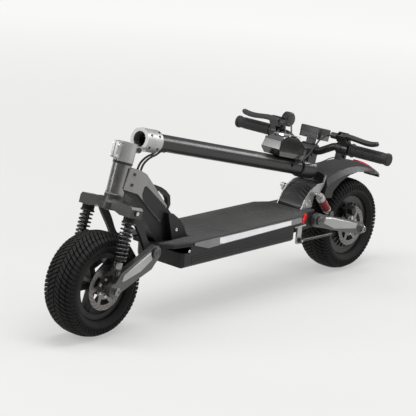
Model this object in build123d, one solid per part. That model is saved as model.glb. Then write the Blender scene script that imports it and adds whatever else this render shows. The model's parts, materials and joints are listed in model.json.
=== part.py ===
"""Electric kick scooter, folded: the stem lies back over the deck.

Millimetres.  +X is forward, +Y is the rider's left, +Z is up.  While the model is being built X = 0 is
the rear axle and Z = 0 the ground; on export everything moves by ORIGIN_SHIFT, so that the row's origin
is the bottom centre of the whole scooter's box.
"""
from build123d import *
from math import cos, sin, radians, degrees, atan2, hypot
import os

# ---- driving dimensions ---------------------------------------------------------------------------
WHEELBASE = 1060.0
TYRE_R = 140.0
TYRE_WIDTH = 98.0
BAR_WIDTH = 564.0
FENDER_TAIL_X = -162.0
GROUND_TO_DECK = TYRE_R + 88

TOUCH = 0.0          # faces of one body that sit on each other
GAP = 0.3            # between pieces of different bodies
RUNNING = 0.05       # radial play of a shaft in its bore
OPEN_PIVOT = 0.8     # radial play at the pivot where each damper linkage is opened

# wheels
RIM_SEAT_R = 80.0
RIM_LIP_R = 89.5
RIM_WALL = 4.0
RIM_HALF = 33.0
RIM_LIP = 5.0
TREAD = 11.0
SIDEWALL = 6.0
HUB_R = 24.0
HUB_HALF = 44.0
SPOKES = 5
SPOKE_WIDTH = 17.0
SPOKE_THICK = 20.0
FRONT_AXLE_R = 6.0
REAR_AXLE_R = 7.0
BEARING_R = 14.0
BEARING_WIDTH = 8.0
DISC_R = 61.0
DISC_THICK = 2.0
DISC_Y = 46.0
DISC_RING = 13.0
DISC_BOLT_PCD = 44.0
DISC_HOLE_R = 2.2
MOTOR_WALL = 5.0
MOTOR_HALF = 42.0
STATOR_R = 62.0
STATOR_HALF = 18.0
CALIPER_CLEAR = 0.6

# steering head; lengths here are along or square to the steering axis, from the head tube's lower face
RAKE = 15.0
AXLE_DROP = 238.0
HEAD_TUBE_LENGTH = 86.0
HEAD_TUBE_R = 25.0
HEAD_BORE_R = 19.0
STEERER_R = 15.0
STEERER_WALL = 3.0
HEADSET_HEIGHT = 9.0
SPACER_HEIGHT = 2.7
CROWN_COLLAR_R = 27.0
CROWN_DEPTH = 42.0
CROWN_FRONT = 26.0
CROWN_BACK = -18.0
SHOCK_Y = 75.0
SHOCK_X = 5.0
SHOCK_TOP = -30.0
SHOCK_FOOT = -190.0
SHOCK_EYE_R = 9.0
SHOCK_EYE_WIDTH = 14.0
SHOCK_PIN_R = 4.0
COLLAR_R = 16.0
COLLAR_END = -62.0
DAMPER_ROD_R = 6.0
DAMPER_WALL = 3.0
FRONT_TUBE_END = -80.0
FRONT_SPRING_R = 15.5
FRONT_WIRE_R = 2.5
FRONT_SPRING_END = -152.0
FRONT_SPRING_TURNS = 8

# swinging arms
FRONT_PIVOT = (WHEELBASE - 148, TYRE_R + 77)
FRONT_ARM_IN = 64.0
FRONT_ARM_THICK = 16.0
FRONT_EYE_R = 20.0
FRONT_END_R = 19.0
LEG_THICK = 9.7
PIVOT_STUD_R = 7.0
REAR_PIVOT = (215.0, TYRE_R + 58)
REAR_ARM_IN = 70.0
REAR_ARM_THICK = 16.0
REAR_EYE_R = 21.0
REAR_END_R = 18.0
REAR_SHOCK_Y = 66.0
REAR_SHOCK_TOP = (203.0, GROUND_TO_DECK + 43)
REAR_SHOCK_FOOT = (146.0, TYRE_R + 68)
REAR_SPRING_R = 11.5
REAR_WIRE_R = 2.0
REAR_SPRING_TURNS = 6
REAR_EYE_BOSS_R = 7.0
REAR_EYE_WIDTH = 12.0
REAR_COLLAR_END = -24.0
REAR_TUBE_END = -50.0
REAR_ROD_R = 4.5
REAR_SEAT_ABOVE_EYE = 18.0

# fold hinge
HINGE_BACK = 28.0
HINGE_HEIGHT = 126.5
CLAMP_TOP = 140.0
FOLD_ANGLE = 88.5
CLAMP_R = 27.0
CLAMP_POCKET_R = 20.0
KNUCKLE_R = 9.0
KNUCKLE_HALF = 10.0
EAR_OUT = 20.0
HINGE_PIN_R = 4.0
HOUSING_R = 31.0
HOUSING_LENGTH = 65.0

# stem and handlebar, in the stem's own frame
STEM_R = 23.0
STEM_WALL = 3.0
STEM_END = WHEELBASE - 279
STEM_SOCKET = 38.0
BAR_AT = STEM_END - 24
BAR_FORWARD = 58.0
GRIP_FORWARD = 85.0
BAR_R = 11.1
BAR_STRAIGHT = 36.0
BAR_BEND_END = 88.0
GRIP_R = 16.5
GRIP_LENGTH = 132.0
CLAMP_SLEEVE_R = 28.0
CLAMP_SLEEVE = 76.0
DISPLAY_SIZE = (34.0, 78.0, 54.0)
DISPLAY_AT = (108.0, 0.0, BAR_AT + 10)
PERCH_Y = BAR_WIDTH / 2 - GRIP_LENGTH - 18
PERCH_WIDTH = 20.0
PERCH_R = 18.0
LEVER_PIVOT_Y = PERCH_Y - 12
LEVER_FORWARD = 40.6
LEVER_PITCH = 38.0
LEVER_LENGTH = 126.0
LEVER_THICK = 9.0
LEVER_HEIGHT = 14.0
PERCH_INBOARD = 13.0
TANK_LENGTH = 22.0
BELL_Y = (14 - PERCH_Y, 38 - PERCH_Y)
BELL_R = 21.0
BELL_FORWARD = 43.0
BELL_UP = 8.0
BELL_FOOT = 9.0
POD_Y = (PERCH_Y - 31, PERCH_Y - 12)
BUTTON_R = 4.5
BUTTON_DEPTH = 6.0
BUTTON_PROUD = 5.0
BUTTON_TRAVEL = 1.5
THROTTLE_Y = (GRIP_LENGTH - BAR_WIDTH / 2 + 1, GRIP_LENGTH - BAR_WIDTH / 2 + 7)
PADDLE_AT = (-26.0, 2.0)
PADDLE_SHAFT_R = 3.0
CABLE_R = 2.5
NECK_CABLE_R = 3.0

# deck
DECK_HALF = 88.0
DECK_THICK = 10.0
MAT_THICK = 4.0
RAIL_WIDTH = 6.0
RAIL_BOTTOM = GROUND_TO_DECK - 31
BOX_BOTTOM = GROUND_TO_DECK - 73
BOX_HALF = 86.0
BOX_WALL = 3.0
BOX_REAR_X = 320.0
BOX_FRONT_X = WHEELBASE - 252
DECK_REAR_X = 218.0
DECK_REAR_HALF = 66.0
DECK_FRONT_X = WHEELBASE - 194
TRIM_THICK = 4.0
LUG_IN = 60.0
LUG_OUT = 69.7
NECK_HALF = 25.0
PLATE_THICK = 5.0
KICK_HALF = 42.0
KICK_SIDE = 4.0
KICK_FRONT_X = 256.0
FENDER_HALF = 56.0
FENDER_WALL = 4.0
STAND_PIVOT = (300.0, GROUND_TO_DECK - 76)
STAND_Y = 88.0
STAND_LENGTH = 148.0
STAND_R = 4.5
STAND_HUB = 10.0

DECK_TOP = GROUND_TO_DECK
PLATE_TOP = DECK_TOP - MAT_THICK
PLATE_BOTTOM = PLATE_TOP - DECK_THICK
ORIGIN_SHIFT = (WHEELBASE + TYRE_R + FENDER_TAIL_X) / 2

# ---- frames ---------------------------------------------------------------------------------------
front_axle = (WHEELBASE, TYRE_R)
rear_axle_at = (0.0, TYRE_R)
head_foot = (
    WHEELBASE - AXLE_DROP * sin(radians(RAKE)),
    TYRE_R + AXLE_DROP * cos(radians(RAKE)),
)
steering = Plane(
    origin=(head_foot[0], 0, head_foot[1]),
    x_dir=(cos(radians(RAKE)), 0, sin(radians(RAKE))),
    z_dir=(-sin(radians(RAKE)), 0, cos(radians(RAKE))),
)
stem_angle = 90 + RAKE + FOLD_ANGLE
fold_pivot = steering.from_local_coords(Vector(-HINGE_BACK, 0, HINGE_HEIGHT))
stem_forward = Vector(cos(radians(stem_angle - 90)), 0, sin(radians(stem_angle - 90)))
stem_frame = Plane(
    origin=fold_pivot + stem_forward * HINGE_BACK,
    x_dir=stem_forward,
    z_dir=(cos(radians(stem_angle)), 0, sin(radians(stem_angle))),
)


def steer(x, z):
    """A point of the steering frame, as (X, Z) of the whole scooter."""
    point = steering.from_local_coords(Vector(x, 0, z))
    return (point.X, point.Z)


# ---- helpers --------------------------------------------------------------------------------------
parts = {}


def keep(name, *solids):
    """Files a node's solids under its name."""
    flat = []
    for shape in solids:
        flat.extend(shape.solids())
    parts[name] = flat


def profile(points, low_y, high_y, corner=0.0):
    """An X-Z outline, as thick as the space between two Y values."""
    face = make_face(Polyline(*points, close=True))
    if corner:
        face = fillet(face.vertices(), corner)
    solid = extrude(Plane.XZ * face, amount=-(high_y - low_y))
    return Pos(0, low_y, 0) * solid


def cross(at, low_y, high_y, radius):
    """A cylinder along Y between two Y values, at an (X, Z) point."""
    height = high_y - low_y
    solid = Cylinder(radius, height, align=(Align.CENTER, Align.CENTER, Align.MIN))
    return Pos(at[0], low_y, at[1]) * Rot(-90, 0, 0) * solid


def post(radius, low, high, at=(0.0, 0.0)):
    """A cylinder along Z, from low to high."""
    solid = Cylinder(radius, high - low, align=(Align.CENTER, Align.CENTER, Align.MIN))
    return Pos(at[0], at[1], low) * solid


def block(low, high):
    """A box from its low corner to its high corner."""
    size = [b - a for a, b in zip(low, high)]
    middle = [(a + b) / 2 for a, b in zip(low, high)]
    return Pos(*middle) * Box(*size)


def rod(start, end, radius):
    """A round rod between two points."""
    line = Vector(*end) - Vector(*start)
    plane = Plane(origin=start, z_dir=line)
    return extrude(plane * Circle(radius), amount=line.length)


def both_sides(shape):
    """A left-hand shape with its mirror image on the right."""
    return [shape, mirror(shape, about=Plane.XZ)]


def turned(outline):
    """A closed outline of (radius, Y) points, turned about the Y axis."""
    face = make_face(Polyline(*outline, close=True))
    return revolve(face, axis=Axis.Y)


def tube_along(points, radii, radius, bore=0.0):
    """A tube with tangent arcs along a route of points."""
    path = FilletPolyline(*points, radius=radii)
    start = Plane(origin=path @ 0, z_dir=path % 0)
    section = Circle(radius)
    if bore:
        section = section - Circle(bore)
    return sweep(start * section, path=path)


def coil(start, end, mean_r, wire_r, turns):
    """An open coil spring between two points, with its wire centre on the mean radius."""
    line = Vector(*end) - Vector(*start)
    length = line.length - 2 * wire_r
    spiral = Helix(pitch=length / turns, height=length, radius=mean_r)
    wire = Plane(origin=spiral @ 0, z_dir=spiral % 0) * Circle(wire_r)
    solid = sweep(wire, path=spiral, is_frenet=True)
    place = Plane(origin=Vector(*start) + line.normalized() * wire_r, z_dir=line)
    return place.location * solid


# ---- wheels ---------------------------------------------------------------------------------------
def tyre():
    half = TYRE_WIDTH / 2
    bead_out = RIM_HALF - RIM_LIP - 0.2
    seat = RIM_SEAT_R + 0.2
    crown_in = TYRE_R - TREAD
    right = [
        (seat, bead_out),
        (RIM_LIP_R + 2, bead_out),
        (RIM_LIP_R + 10, half - 9),
        (TYRE_R - 26, half),
        (TYRE_R - 13, half - 2),
        (TYRE_R - 4, half - 17),
        (TYRE_R, half - 34),
    ]
    inner = [
        (crown_in, half - 34),
        (crown_in - 3, half - 17),
        (TYRE_R - 26, half - SIDEWALL),
        (RIM_LIP_R + 11, half - 9 - SIDEWALL),
        (RIM_LIP_R + 2, bead_out - SIDEWALL),
        (seat, bead_out - SIDEWALL),
    ]
    outline = right + [(r, -y) for r, y in reversed(right)]
    outline += [(r, -y) for r, y in reversed(inner)]
    outline += inner
    return turned(outline)


def rim_barrel():
    lip_in = RIM_HALF - RIM_LIP
    outline = [
        (RIM_SEAT_R - RIM_WALL, -RIM_HALF),
        (RIM_LIP_R, -RIM_HALF),
        (RIM_LIP_R, -lip_in),
        (RIM_SEAT_R, -lip_in),
        (RIM_SEAT_R, lip_in),
        (RIM_LIP_R, lip_in),
        (RIM_LIP_R, RIM_HALF),
        (RIM_SEAT_R - RIM_WALL, RIM_HALF),
    ]
    return turned(outline)


def spoked_rim():
    rim = rim_barrel() + cross((0, 0), -HUB_HALF, HUB_HALF, HUB_R)
    reach = RIM_SEAT_R - RIM_WALL + 1
    for n in range(SPOKES):
        spoke = block((HUB_R - 4, -SPOKE_THICK / 2, -SPOKE_WIDTH / 2),
                      (reach, SPOKE_THICK / 2, SPOKE_WIDTH / 2))
        rim += Rot(0, 360 / SPOKES * n, 0) * spoke
    rim -= cross((0, 0), -HUB_HALF, HUB_HALF, BEARING_R - 4)
    for side in (-1, 1):
        seat = sorted((side * HUB_HALF, side * (HUB_HALF - BEARING_WIDTH)))
        rim -= cross((0, 0), seat[0], seat[1], BEARING_R)
    return rim


def bearing(low_y):
    ring = cross((0, 0), low_y, low_y + BEARING_WIDTH, BEARING_R)
    return ring - cross((0, 0), low_y, low_y + BEARING_WIDTH, FRONT_AXLE_R + RUNNING)


def brake_disc():
    disc = cross((0, 0), DISC_Y, DISC_Y + DISC_THICK, DISC_R)
    disc -= cross((0, 0), DISC_Y, DISC_Y + DISC_THICK, DISC_R - DISC_RING)
    disc += cross((0, 0), DISC_Y, DISC_Y + DISC_THICK, DISC_BOLT_PCD / 2 + 6)
    for n in range(6):
        arm = block((DISC_BOLT_PCD / 2, DISC_Y, -4), (DISC_R - 4, DISC_Y + DISC_THICK, 4))
        disc += Rot(0, 60 * n, 0) * arm
        hole = cross((DISC_BOLT_PCD / 2, 0), DISC_Y, DISC_Y + DISC_THICK, DISC_HOLE_R)
        disc -= Rot(0, 60 * n + 30, 0) * hole
    disc -= cross((0, 0), DISC_Y, DISC_Y + DISC_THICK, DISC_BOLT_PCD / 2 - 7)
    return disc


def hub_motor():
    shell = rim_barrel()
    flange = RIM_SEAT_R - RIM_WALL
    outline = [
        (REAR_AXLE_R + RUNNING, -MOTOR_HALF),
        (30, -MOTOR_HALF),
        (flange - 8, -RIM_HALF + 2),
        (flange + 0.5, -RIM_HALF + 2),
        (flange + 0.5, RIM_HALF - 2),
        (flange - 8, RIM_HALF - 2),
        (30, MOTOR_HALF),
        (REAR_AXLE_R + RUNNING, MOTOR_HALF),
        (REAR_AXLE_R + RUNNING, MOTOR_HALF - 2 * MOTOR_WALL),
        (24, MOTOR_HALF - 2 * MOTOR_WALL),
        (flange - 9, RIM_HALF - 2 - MOTOR_WALL),
        (flange - MOTOR_WALL, RIM_HALF - 2 - MOTOR_WALL),
        (flange - MOTOR_WALL, -RIM_HALF + 2 + MOTOR_WALL),
        (flange - 9, -RIM_HALF + 2 + MOTOR_WALL),
        (24, -MOTOR_HALF + 2 * MOTOR_WALL),
        (REAR_AXLE_R + RUNNING, -MOTOR_HALF + 2 * MOTOR_WALL),
    ]
    boss = cross((0, 0), MOTOR_HALF, DISC_Y, DISC_BOLT_PCD / 2 + 6)
    boss -= cross((0, 0), MOTOR_HALF, DISC_Y, REAR_AXLE_R + RUNNING)
    return shell + turned(outline) + boss


def axle_with_nuts(radius, arm_in, arm_out, spacer_from):
    """A through axle with a spacer and a nut at each arm."""
    nut = extrude(RegularPolygon(radius + 5, 6), amount=8)
    whole = cross((0, 0), -arm_out - 11, arm_out + 11, radius)
    for side in (-1, 1):
        low, high = sorted((side * spacer_from, side * arm_in))
        whole += cross((0, 0), low, high, radius + 3)
        base = arm_out if side > 0 else -arm_out - 8
        whole += Pos(0, base, 0) * Rot(-90, 0, 0) * nut
    return whole


def caliper(arm_in, angle, inner):
    """A two-piston caliper over the disc's rim, with its bracket out to the arm."""
    middle = DISC_Y + DISC_THICK / 2
    outer = DISC_Y + DISC_THICK + 8
    slot = DISC_THICK / 2 + CALIPER_CLEAR
    body = block((DISC_R - 21, inner, -22), (DISC_R + 11, outer, 22))
    body = fillet(body.edges().filter_by(Axis.Y), 7)
    body -= block((0, middle - slot, -30), (DISC_R + CALIPER_CLEAR + 1, middle + slot, 30))
    bracket = block((DISC_R - 12, outer, -9), (DISC_R + 8, arm_in, 9))
    return Rot(0, -angle, 0) * (body + bracket)


front_place = Pos(front_axle[0], 0, front_axle[1])
rear_place = Pos(rear_axle_at[0], 0, rear_axle_at[1])
keep("front_tyre", front_place * tyre())
keep("rear_tyre", rear_place * tyre())
keep("front_rim", front_place * spoked_rim())
bearings = [bearing(HUB_HALF - BEARING_WIDTH), bearing(-HUB_HALF)]
keep("front_wheel_bearings", *[front_place * ring for ring in bearings])
disc_seat = cross((0, 0), HUB_HALF, DISC_Y, HUB_R) - cross((0, 0), HUB_HALF, DISC_Y, BEARING_R - 4)
parts["front_rim"] = (parts["front_rim"][0] + front_place * disc_seat).solids()
keep("front_brake_disc", front_place * brake_disc())
keep("rear_brake_disc", rear_place * brake_disc())
keep("rear_hub_motor", rear_place * hub_motor())


# ---- steering head and fork -----------------------------------------------------------------------
def head_tube():
    return post(HEAD_TUBE_R, 0, HEAD_TUBE_LENGTH) - post(HEAD_BORE_R, 0, HEAD_TUBE_LENGTH)


def headset_bearing(low):
    ring = post(HEAD_BORE_R, low, low + HEADSET_HEIGHT)
    return ring - post(STEERER_R + RUNNING, low, low + HEADSET_HEIGHT)


def steerer_tube():
    top = HEAD_TUBE_LENGTH + GAP + SPACER_HEIGHT + 18
    tube = post(STEERER_R, -CROWN_DEPTH / 2, top)
    tube -= post(STEERER_R - STEERER_WALL, -CROWN_DEPTH / 2, top)
    ring = post(CLAMP_R - 3, HEAD_TUBE_LENGTH + GAP, HEAD_TUBE_LENGTH + GAP + SPACER_HEIGHT)
    return tube + ring


def fork_crown():
    """The gull-wing yoke: a collar under the head tube and an arm out to each damper."""
    wing_end = SHOCK_Y + COLLAR_R + 2
    leg_in = FRONT_ARM_IN - GAP - LEG_THICK
    outline = [
        (0, -20), (24, -9), (leg_in + 6, -15), (wing_end - 5, -15), (wing_end, -22),
        (wing_end, -44), (leg_in, -44), (leg_in - 12, -40), (28, -36), (0, -CROWN_DEPTH),
    ]
    outline += [(-y, z) for y, z in reversed(outline[1:-1])]
    face = make_face(Polyline(*outline, close=True))
    yoke = Pos(CROWN_BACK, 0, 0) * extrude(Plane.YZ * face, amount=CROWN_FRONT - CROWN_BACK)
    collar = post(CROWN_COLLAR_R, -CROWN_DEPTH / 2, -GAP)
    nose = post(CROWN_COLLAR_R + 7, -CROWN_DEPTH + 3, -CROWN_DEPTH / 2)
    crown = yoke + collar + nose
    crown -= post(STEERER_R, -CROWN_DEPTH / 2, 0)
    for side in (-1, 1):
        low_y, high_y = sorted((side * (SHOCK_Y - SHOCK_EYE_WIDTH / 2 - GAP),
                                side * (SHOCK_Y + SHOCK_EYE_WIDTH / 2 + GAP)))
        pocket_r = SHOCK_EYE_R + 2
        crown -= cross((SHOCK_X, SHOCK_TOP), low_y, high_y, pocket_r)
        crown -= block((SHOCK_X - pocket_r, low_y, -60), (SHOCK_X + pocket_r, high_y, SHOCK_TOP))
        crown -= cross((SHOCK_X, SHOCK_TOP), -wing_end, wing_end, SHOCK_PIN_R)
    return crown


pivot_in_head = steering.to_local_coords(Vector(FRONT_PIVOT[0], 0, FRONT_PIVOT[1]))
leg_foot = (pivot_in_head.X, pivot_in_head.Z)


def fork_leg():
    """The curved plate from the crown back and down to the arm's pivot, with a stud for the arm."""
    inner = FRONT_ARM_IN - GAP - LEG_THICK
    outer = inner + LEG_THICK
    back = Spline((CROWN_BACK, -26), (-38, -37), (-72, -66), (-96, -94), (leg_foot[0] + 8, leg_foot[1] + 17))
    front = Spline((leg_foot[0] + 14, leg_foot[1] - 13), (-92, -118), (-62, -86), (-36, -62), (CROWN_BACK, -43))
    low = Line(back @ 1, front @ 0)
    high = Line(front @ 1, back @ 0)
    face = make_face([back, low, front, high])
    leg = Pos(0, inner, 0) * extrude(Plane.XZ * face, amount=-LEG_THICK)
    leg += cross(leg_foot, inner, outer, FRONT_EYE_R - 2)
    stud = cross(leg_foot, outer, FRONT_ARM_IN + FRONT_ARM_THICK + 1, PIVOT_STUD_R)
    cap = cross(leg_foot, FRONT_ARM_IN + FRONT_ARM_THICK + GAP, FRONT_ARM_IN + FRONT_ARM_THICK + 4, 13)
    return leg + stud + cap


def stem_clamp():
    """The sleeve on the steerer that carries the fold hinge's knuckle and the front pinch lug."""
    base = HEAD_TUBE_LENGTH + GAP + SPACER_HEIGHT
    body = post(CLAMP_R, base, CLAMP_TOP)
    body += block((-HINGE_BACK, -KNUCKLE_HALF, HINGE_HEIGHT - 16), (0, KNUCKLE_HALF, HINGE_HEIGHT + 5))
    body += cross((-HINGE_BACK, HINGE_HEIGHT), -KNUCKLE_HALF, KNUCKLE_HALF, KNUCKLE_R)
    lug = block((CLAMP_R - 5, -9, base + 5), (CLAMP_R + 17, 9, CLAMP_TOP - 1))
    lug = fillet(lug.edges().filter_by(Axis.Y), 5)
    body += lug
    body -= block((STEERER_R - 1, -1.2, base - 1), (CLAMP_R + 18, 1.2, CLAMP_TOP + 1))
    body -= post(STEERER_R, base, base + 18)
    body -= post(CLAMP_POCKET_R, base + 18, CLAMP_TOP)
    sweep_r = KNUCKLE_R + 0.6
    for low_y, high_y in ((-EAR_OUT - GAP, -KNUCKLE_HALF), (KNUCKLE_HALF, EAR_OUT + GAP)):
        body -= cross((-HINGE_BACK, HINGE_HEIGHT), low_y, high_y, sweep_r)
        body -= block((-HINGE_BACK - sweep_r, low_y, HINGE_HEIGHT),
                      (-HINGE_BACK + sweep_r, high_y, CLAMP_TOP + 1))
    body -= cross((-HINGE_BACK, HINGE_HEIGHT), -EAR_OUT, EAR_OUT, HINGE_PIN_R)
    return body


def fold_hinge_pin():
    pin = cross((-HINGE_BACK, HINGE_HEIGHT), -EAR_OUT - 1, EAR_OUT + 1, HINGE_PIN_R)
    for low_y in (-EAR_OUT - 3, EAR_OUT + GAP):
        pin += cross((-HINGE_BACK, HINGE_HEIGHT), low_y, low_y + 3 - GAP, HINGE_PIN_R + 3)
    return pin


def shock_pins():
    wing_end = SHOCK_Y + COLLAR_R + 2
    inner = FRONT_ARM_IN - GAP - LEG_THICK
    pin = cross((SHOCK_X, SHOCK_TOP), inner + 2, wing_end + 2, SHOCK_PIN_R)
    pin += cross((SHOCK_X, SHOCK_TOP), wing_end, wing_end + 3, SHOCK_PIN_R + 3)
    return both_sides(pin)


head = steering.location
keep("head_tube", head * head_tube())
keep("headset_bearings", head * headset_bearing(2), head * headset_bearing(HEAD_TUBE_LENGTH - 11))
keep("steerer_tube", head * steerer_tube())
keep("fork_crown", head * fork_crown())
keep("fork_legs", *[head * leg for leg in both_sides(fork_leg())])
keep("stem_clamp", head * stem_clamp())
keep("fork_pins", head * fold_hinge_pin(), *[head * pin for pin in shock_pins()])


# ---- front arms and dampers -----------------------------------------------------------------------
def front_arm():
    outer = FRONT_ARM_IN + FRONT_ARM_THICK
    pivot_x, pivot_z = FRONT_PIVOT
    outline = [
        (pivot_x - 13, pivot_z + 15), (pivot_x + 12, pivot_z + 16), (front_axle[0] - 24, TYRE_R + 44),
        (front_axle[0] - 2, TYRE_R + 18), (front_axle[0] + 4, TYRE_R - 18), (front_axle[0] - 32, TYRE_R - 6),
        (front_axle[0] - 94, TYRE_R + 19), (pivot_x + 12, pivot_z - 43), (pivot_x - 14, pivot_z - 16),
    ]
    arm = profile(outline, FRONT_ARM_IN, outer, corner=4)
    arm += cross(FRONT_PIVOT, FRONT_ARM_IN, outer, FRONT_EYE_R)
    arm += cross(front_axle, FRONT_ARM_IN, outer, FRONT_END_R)
    eye = steer(SHOCK_X, SHOCK_FOOT)
    arm += cross(eye, FRONT_ARM_IN, outer, SHOCK_EYE_R + 3)
    slot_low = SHOCK_Y - SHOCK_EYE_WIDTH / 2 - GAP
    arm -= cross(eye, slot_low, outer + 1, SHOCK_EYE_R + 2.5)
    halfway = ((eye[0] + shock_top[0]) / 2, SHOCK_Y, (eye[1] + shock_top[1]) / 2)
    arm -= rod((eye[0], SHOCK_Y, eye[1]), halfway, SHOCK_EYE_WIDTH / 2 + 2)
    arm += cross(eye, FRONT_ARM_IN, outer + 4, SHOCK_PIN_R)
    arm -= cross(FRONT_PIVOT, FRONT_ARM_IN, outer, PIVOT_STUD_R + RUNNING)
    arm -= cross(front_axle, FRONT_ARM_IN, outer, FRONT_AXLE_R)
    return arm


def damper_body(eye_r, eye_width, collar_r, collar_from, collar_end, tube_end, rod_r, pin_r):
    """Upper half of a damper along -Z from its top eye at the origin: eye, spring collar and tube."""
    body = cross((0, 0), -eye_width / 2, eye_width / 2, eye_r)
    body += post(collar_r, collar_end, collar_from)
    body += post(rod_r + DAMPER_WALL, tube_end, collar_end + 1)
    body += block((-5, -5, collar_from - 1), (5, 5, -eye_r + 3))
    body -= cross((0, 0), -eye_width / 2, eye_width / 2, pin_r + RUNNING)
    return body - post(rod_r + RUNNING, tube_end - 1, collar_end - 3)


def damper_rod(length, rod_r, top, seat_r, seat_at, eye_r, eye_width, pin_r):
    """Lower half: a rod with its spring seat and the foot's eye, from the same top eye."""
    foot = -length
    body = post(rod_r, foot + eye_r - 2, top)
    body += post(seat_r, seat_at - 5, seat_at)
    body += post(eye_width / 2 - 0.5, foot + eye_r - 4, seat_at - 4)
    body += cross((0, foot), -eye_width / 2, eye_width / 2, eye_r)
    return body - cross((0, foot), -eye_width / 2, eye_width / 2, pin_r)


def damper_place(top, foot, y):
    """Where a damper drawn along -Z goes: its eye at top, pointing at foot, both (X, Z)."""
    down = Vector(foot[0] - top[0], 0, foot[1] - top[1]).normalized()
    return Plane(origin=(top[0], y, top[1]), x_dir=(-down.Z, 0, down.X), z_dir=-down).location


shock_top = steer(SHOCK_X, SHOCK_TOP)
shock_foot = steer(SHOCK_X, SHOCK_FOOT)
front_shock_length = SHOCK_TOP - SHOCK_FOOT
front_damper = damper_place(shock_top, shock_foot, SHOCK_Y)
collar_end = COLLAR_END - SHOCK_TOP
spring_end = FRONT_SPRING_END - SHOCK_TOP
front_body = damper_body(SHOCK_EYE_R, SHOCK_EYE_WIDTH, COLLAR_R, -SHOCK_EYE_R - 7,
                         collar_end, FRONT_TUBE_END, DAMPER_ROD_R, SHOCK_PIN_R)
front_rod = damper_rod(front_shock_length, DAMPER_ROD_R, FRONT_TUBE_END + 14, FRONT_SPRING_R + 2,
                       spring_end, SHOCK_EYE_R, SHOCK_EYE_WIDTH, SHOCK_PIN_R + OPEN_PIVOT)
front_coil = coil((0, 0, spring_end + GAP), (0, 0, collar_end - GAP), FRONT_SPRING_R,
                  FRONT_WIRE_R, FRONT_SPRING_TURNS)
keep("front_arms", *both_sides(front_arm()))
front_outer = FRONT_ARM_IN + FRONT_ARM_THICK
keep("front_axle", front_place * axle_with_nuts(FRONT_AXLE_R, FRONT_ARM_IN, front_outer, HUB_HALF + 2.3))
keep("front_caliper", front_place * caliper(FRONT_ARM_IN, 122, DISC_Y - 9))
keep("front_shock_bodies", *both_sides(front_damper * front_body))
keep("front_shock_rods", *both_sides(front_damper * front_rod))
keep("front_springs", *both_sides(front_damper * front_coil))


# ---- rear arms and dampers ------------------------------------------------------------------------
def rear_arm():
    outer = REAR_ARM_IN + REAR_ARM_THICK
    pivot_x, pivot_z = REAR_PIVOT
    outline = [
        (pivot_x + 4, pivot_z + 20), (pivot_x - 60, pivot_z + 4), (18, TYRE_R + 25),
        (-8, TYRE_R + 14), (-10, TYRE_R - 12), (14, TYRE_R - 16), (pivot_x - 75, TYRE_R + 17),
        (pivot_x - 2, pivot_z - 21),
    ]
    arm = profile(outline, REAR_ARM_IN, outer, corner=3)
    arm += cross(REAR_PIVOT, REAR_ARM_IN, outer, REAR_EYE_R)
    arm += cross(rear_axle_at, REAR_ARM_IN, outer, REAR_END_R)
    foot_x, foot_z = REAR_SHOCK_FOOT
    lug = profile([(foot_x - 12, foot_z - 18), (foot_x - 7, foot_z + 6), (foot_x + 7, foot_z + 6),
                   (foot_x + 12, foot_z - 18)], REAR_SHOCK_Y + 7, REAR_SHOCK_Y + 13, corner=1)
    arm += lug
    arm += cross(REAR_SHOCK_FOOT, REAR_SHOCK_Y - 6, REAR_SHOCK_Y + 8, SHOCK_PIN_R)
    arm -= cross(REAR_PIVOT, REAR_ARM_IN, outer, PIVOT_STUD_R + RUNNING)
    arm -= cross(rear_axle_at, REAR_ARM_IN, outer, REAR_AXLE_R)
    return arm


rear_outer = REAR_ARM_IN + REAR_ARM_THICK
rear_run = (REAR_SHOCK_TOP[0] - REAR_SHOCK_FOOT[0], REAR_SHOCK_TOP[1] - REAR_SHOCK_FOOT[1])
rear_length = hypot(*rear_run)
rear_damper = damper_place(REAR_SHOCK_TOP, REAR_SHOCK_FOOT, REAR_SHOCK_Y)
rear_seat = REAR_SEAT_ABOVE_EYE - rear_length
rear_body = damper_body(REAR_EYE_BOSS_R, REAR_EYE_WIDTH, REAR_SPRING_R + 1, -REAR_EYE_BOSS_R - 3,
                        REAR_COLLAR_END, REAR_TUBE_END, REAR_ROD_R, SHOCK_PIN_R)
rear_rod = damper_rod(rear_length, REAR_ROD_R, REAR_TUBE_END + 9, REAR_SPRING_R + 1, rear_seat,
                      REAR_EYE_BOSS_R, REAR_EYE_WIDTH, SHOCK_PIN_R + OPEN_PIVOT)
rear_coil = coil((0, 0, rear_seat + GAP), (0, 0, REAR_COLLAR_END - GAP), REAR_SPRING_R - 1,
                 REAR_WIRE_R, REAR_SPRING_TURNS)
keep("rear_arms", *both_sides(rear_arm()))
stator = cross((0, 0), -STATOR_HALF, STATOR_HALF, STATOR_R) - cross((0, 0), -STATOR_HALF, STATOR_HALF, 40)
stator += cross((0, 0), -STATOR_HALF / 2, STATOR_HALF / 2, 40)
stator -= cross((0, 0), -STATOR_HALF, STATOR_HALF, REAR_AXLE_R)
motor_axle = axle_with_nuts(REAR_AXLE_R, REAR_ARM_IN, rear_outer, DISC_Y + 1) + stator
keep("rear_axle", rear_place * motor_axle)
keep("rear_caliper", rear_place * caliper(REAR_ARM_IN, 68, DISC_Y - 5))
keep("rear_shock_bodies", *both_sides(rear_damper * rear_body))
keep("rear_shock_rods", *both_sides(rear_damper * rear_rod))
keep("rear_springs", *both_sides(rear_damper * rear_coil))


# ---- stem, in its own frame: z from the hinge to the handlebar, x to the riding front --------------
MOUTH = CLAMP_TOP - HINGE_HEIGHT + GAP
HOUSE_END = MOUTH + HOUSING_LENGTH
BAR_HALF = BAR_WIDTH / 2


def at_grip(x, z):
    """A point of the grip's cross-section, in the stem frame's X and Z."""
    return (GRIP_FORWARD + x, BAR_AT + z)


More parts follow.
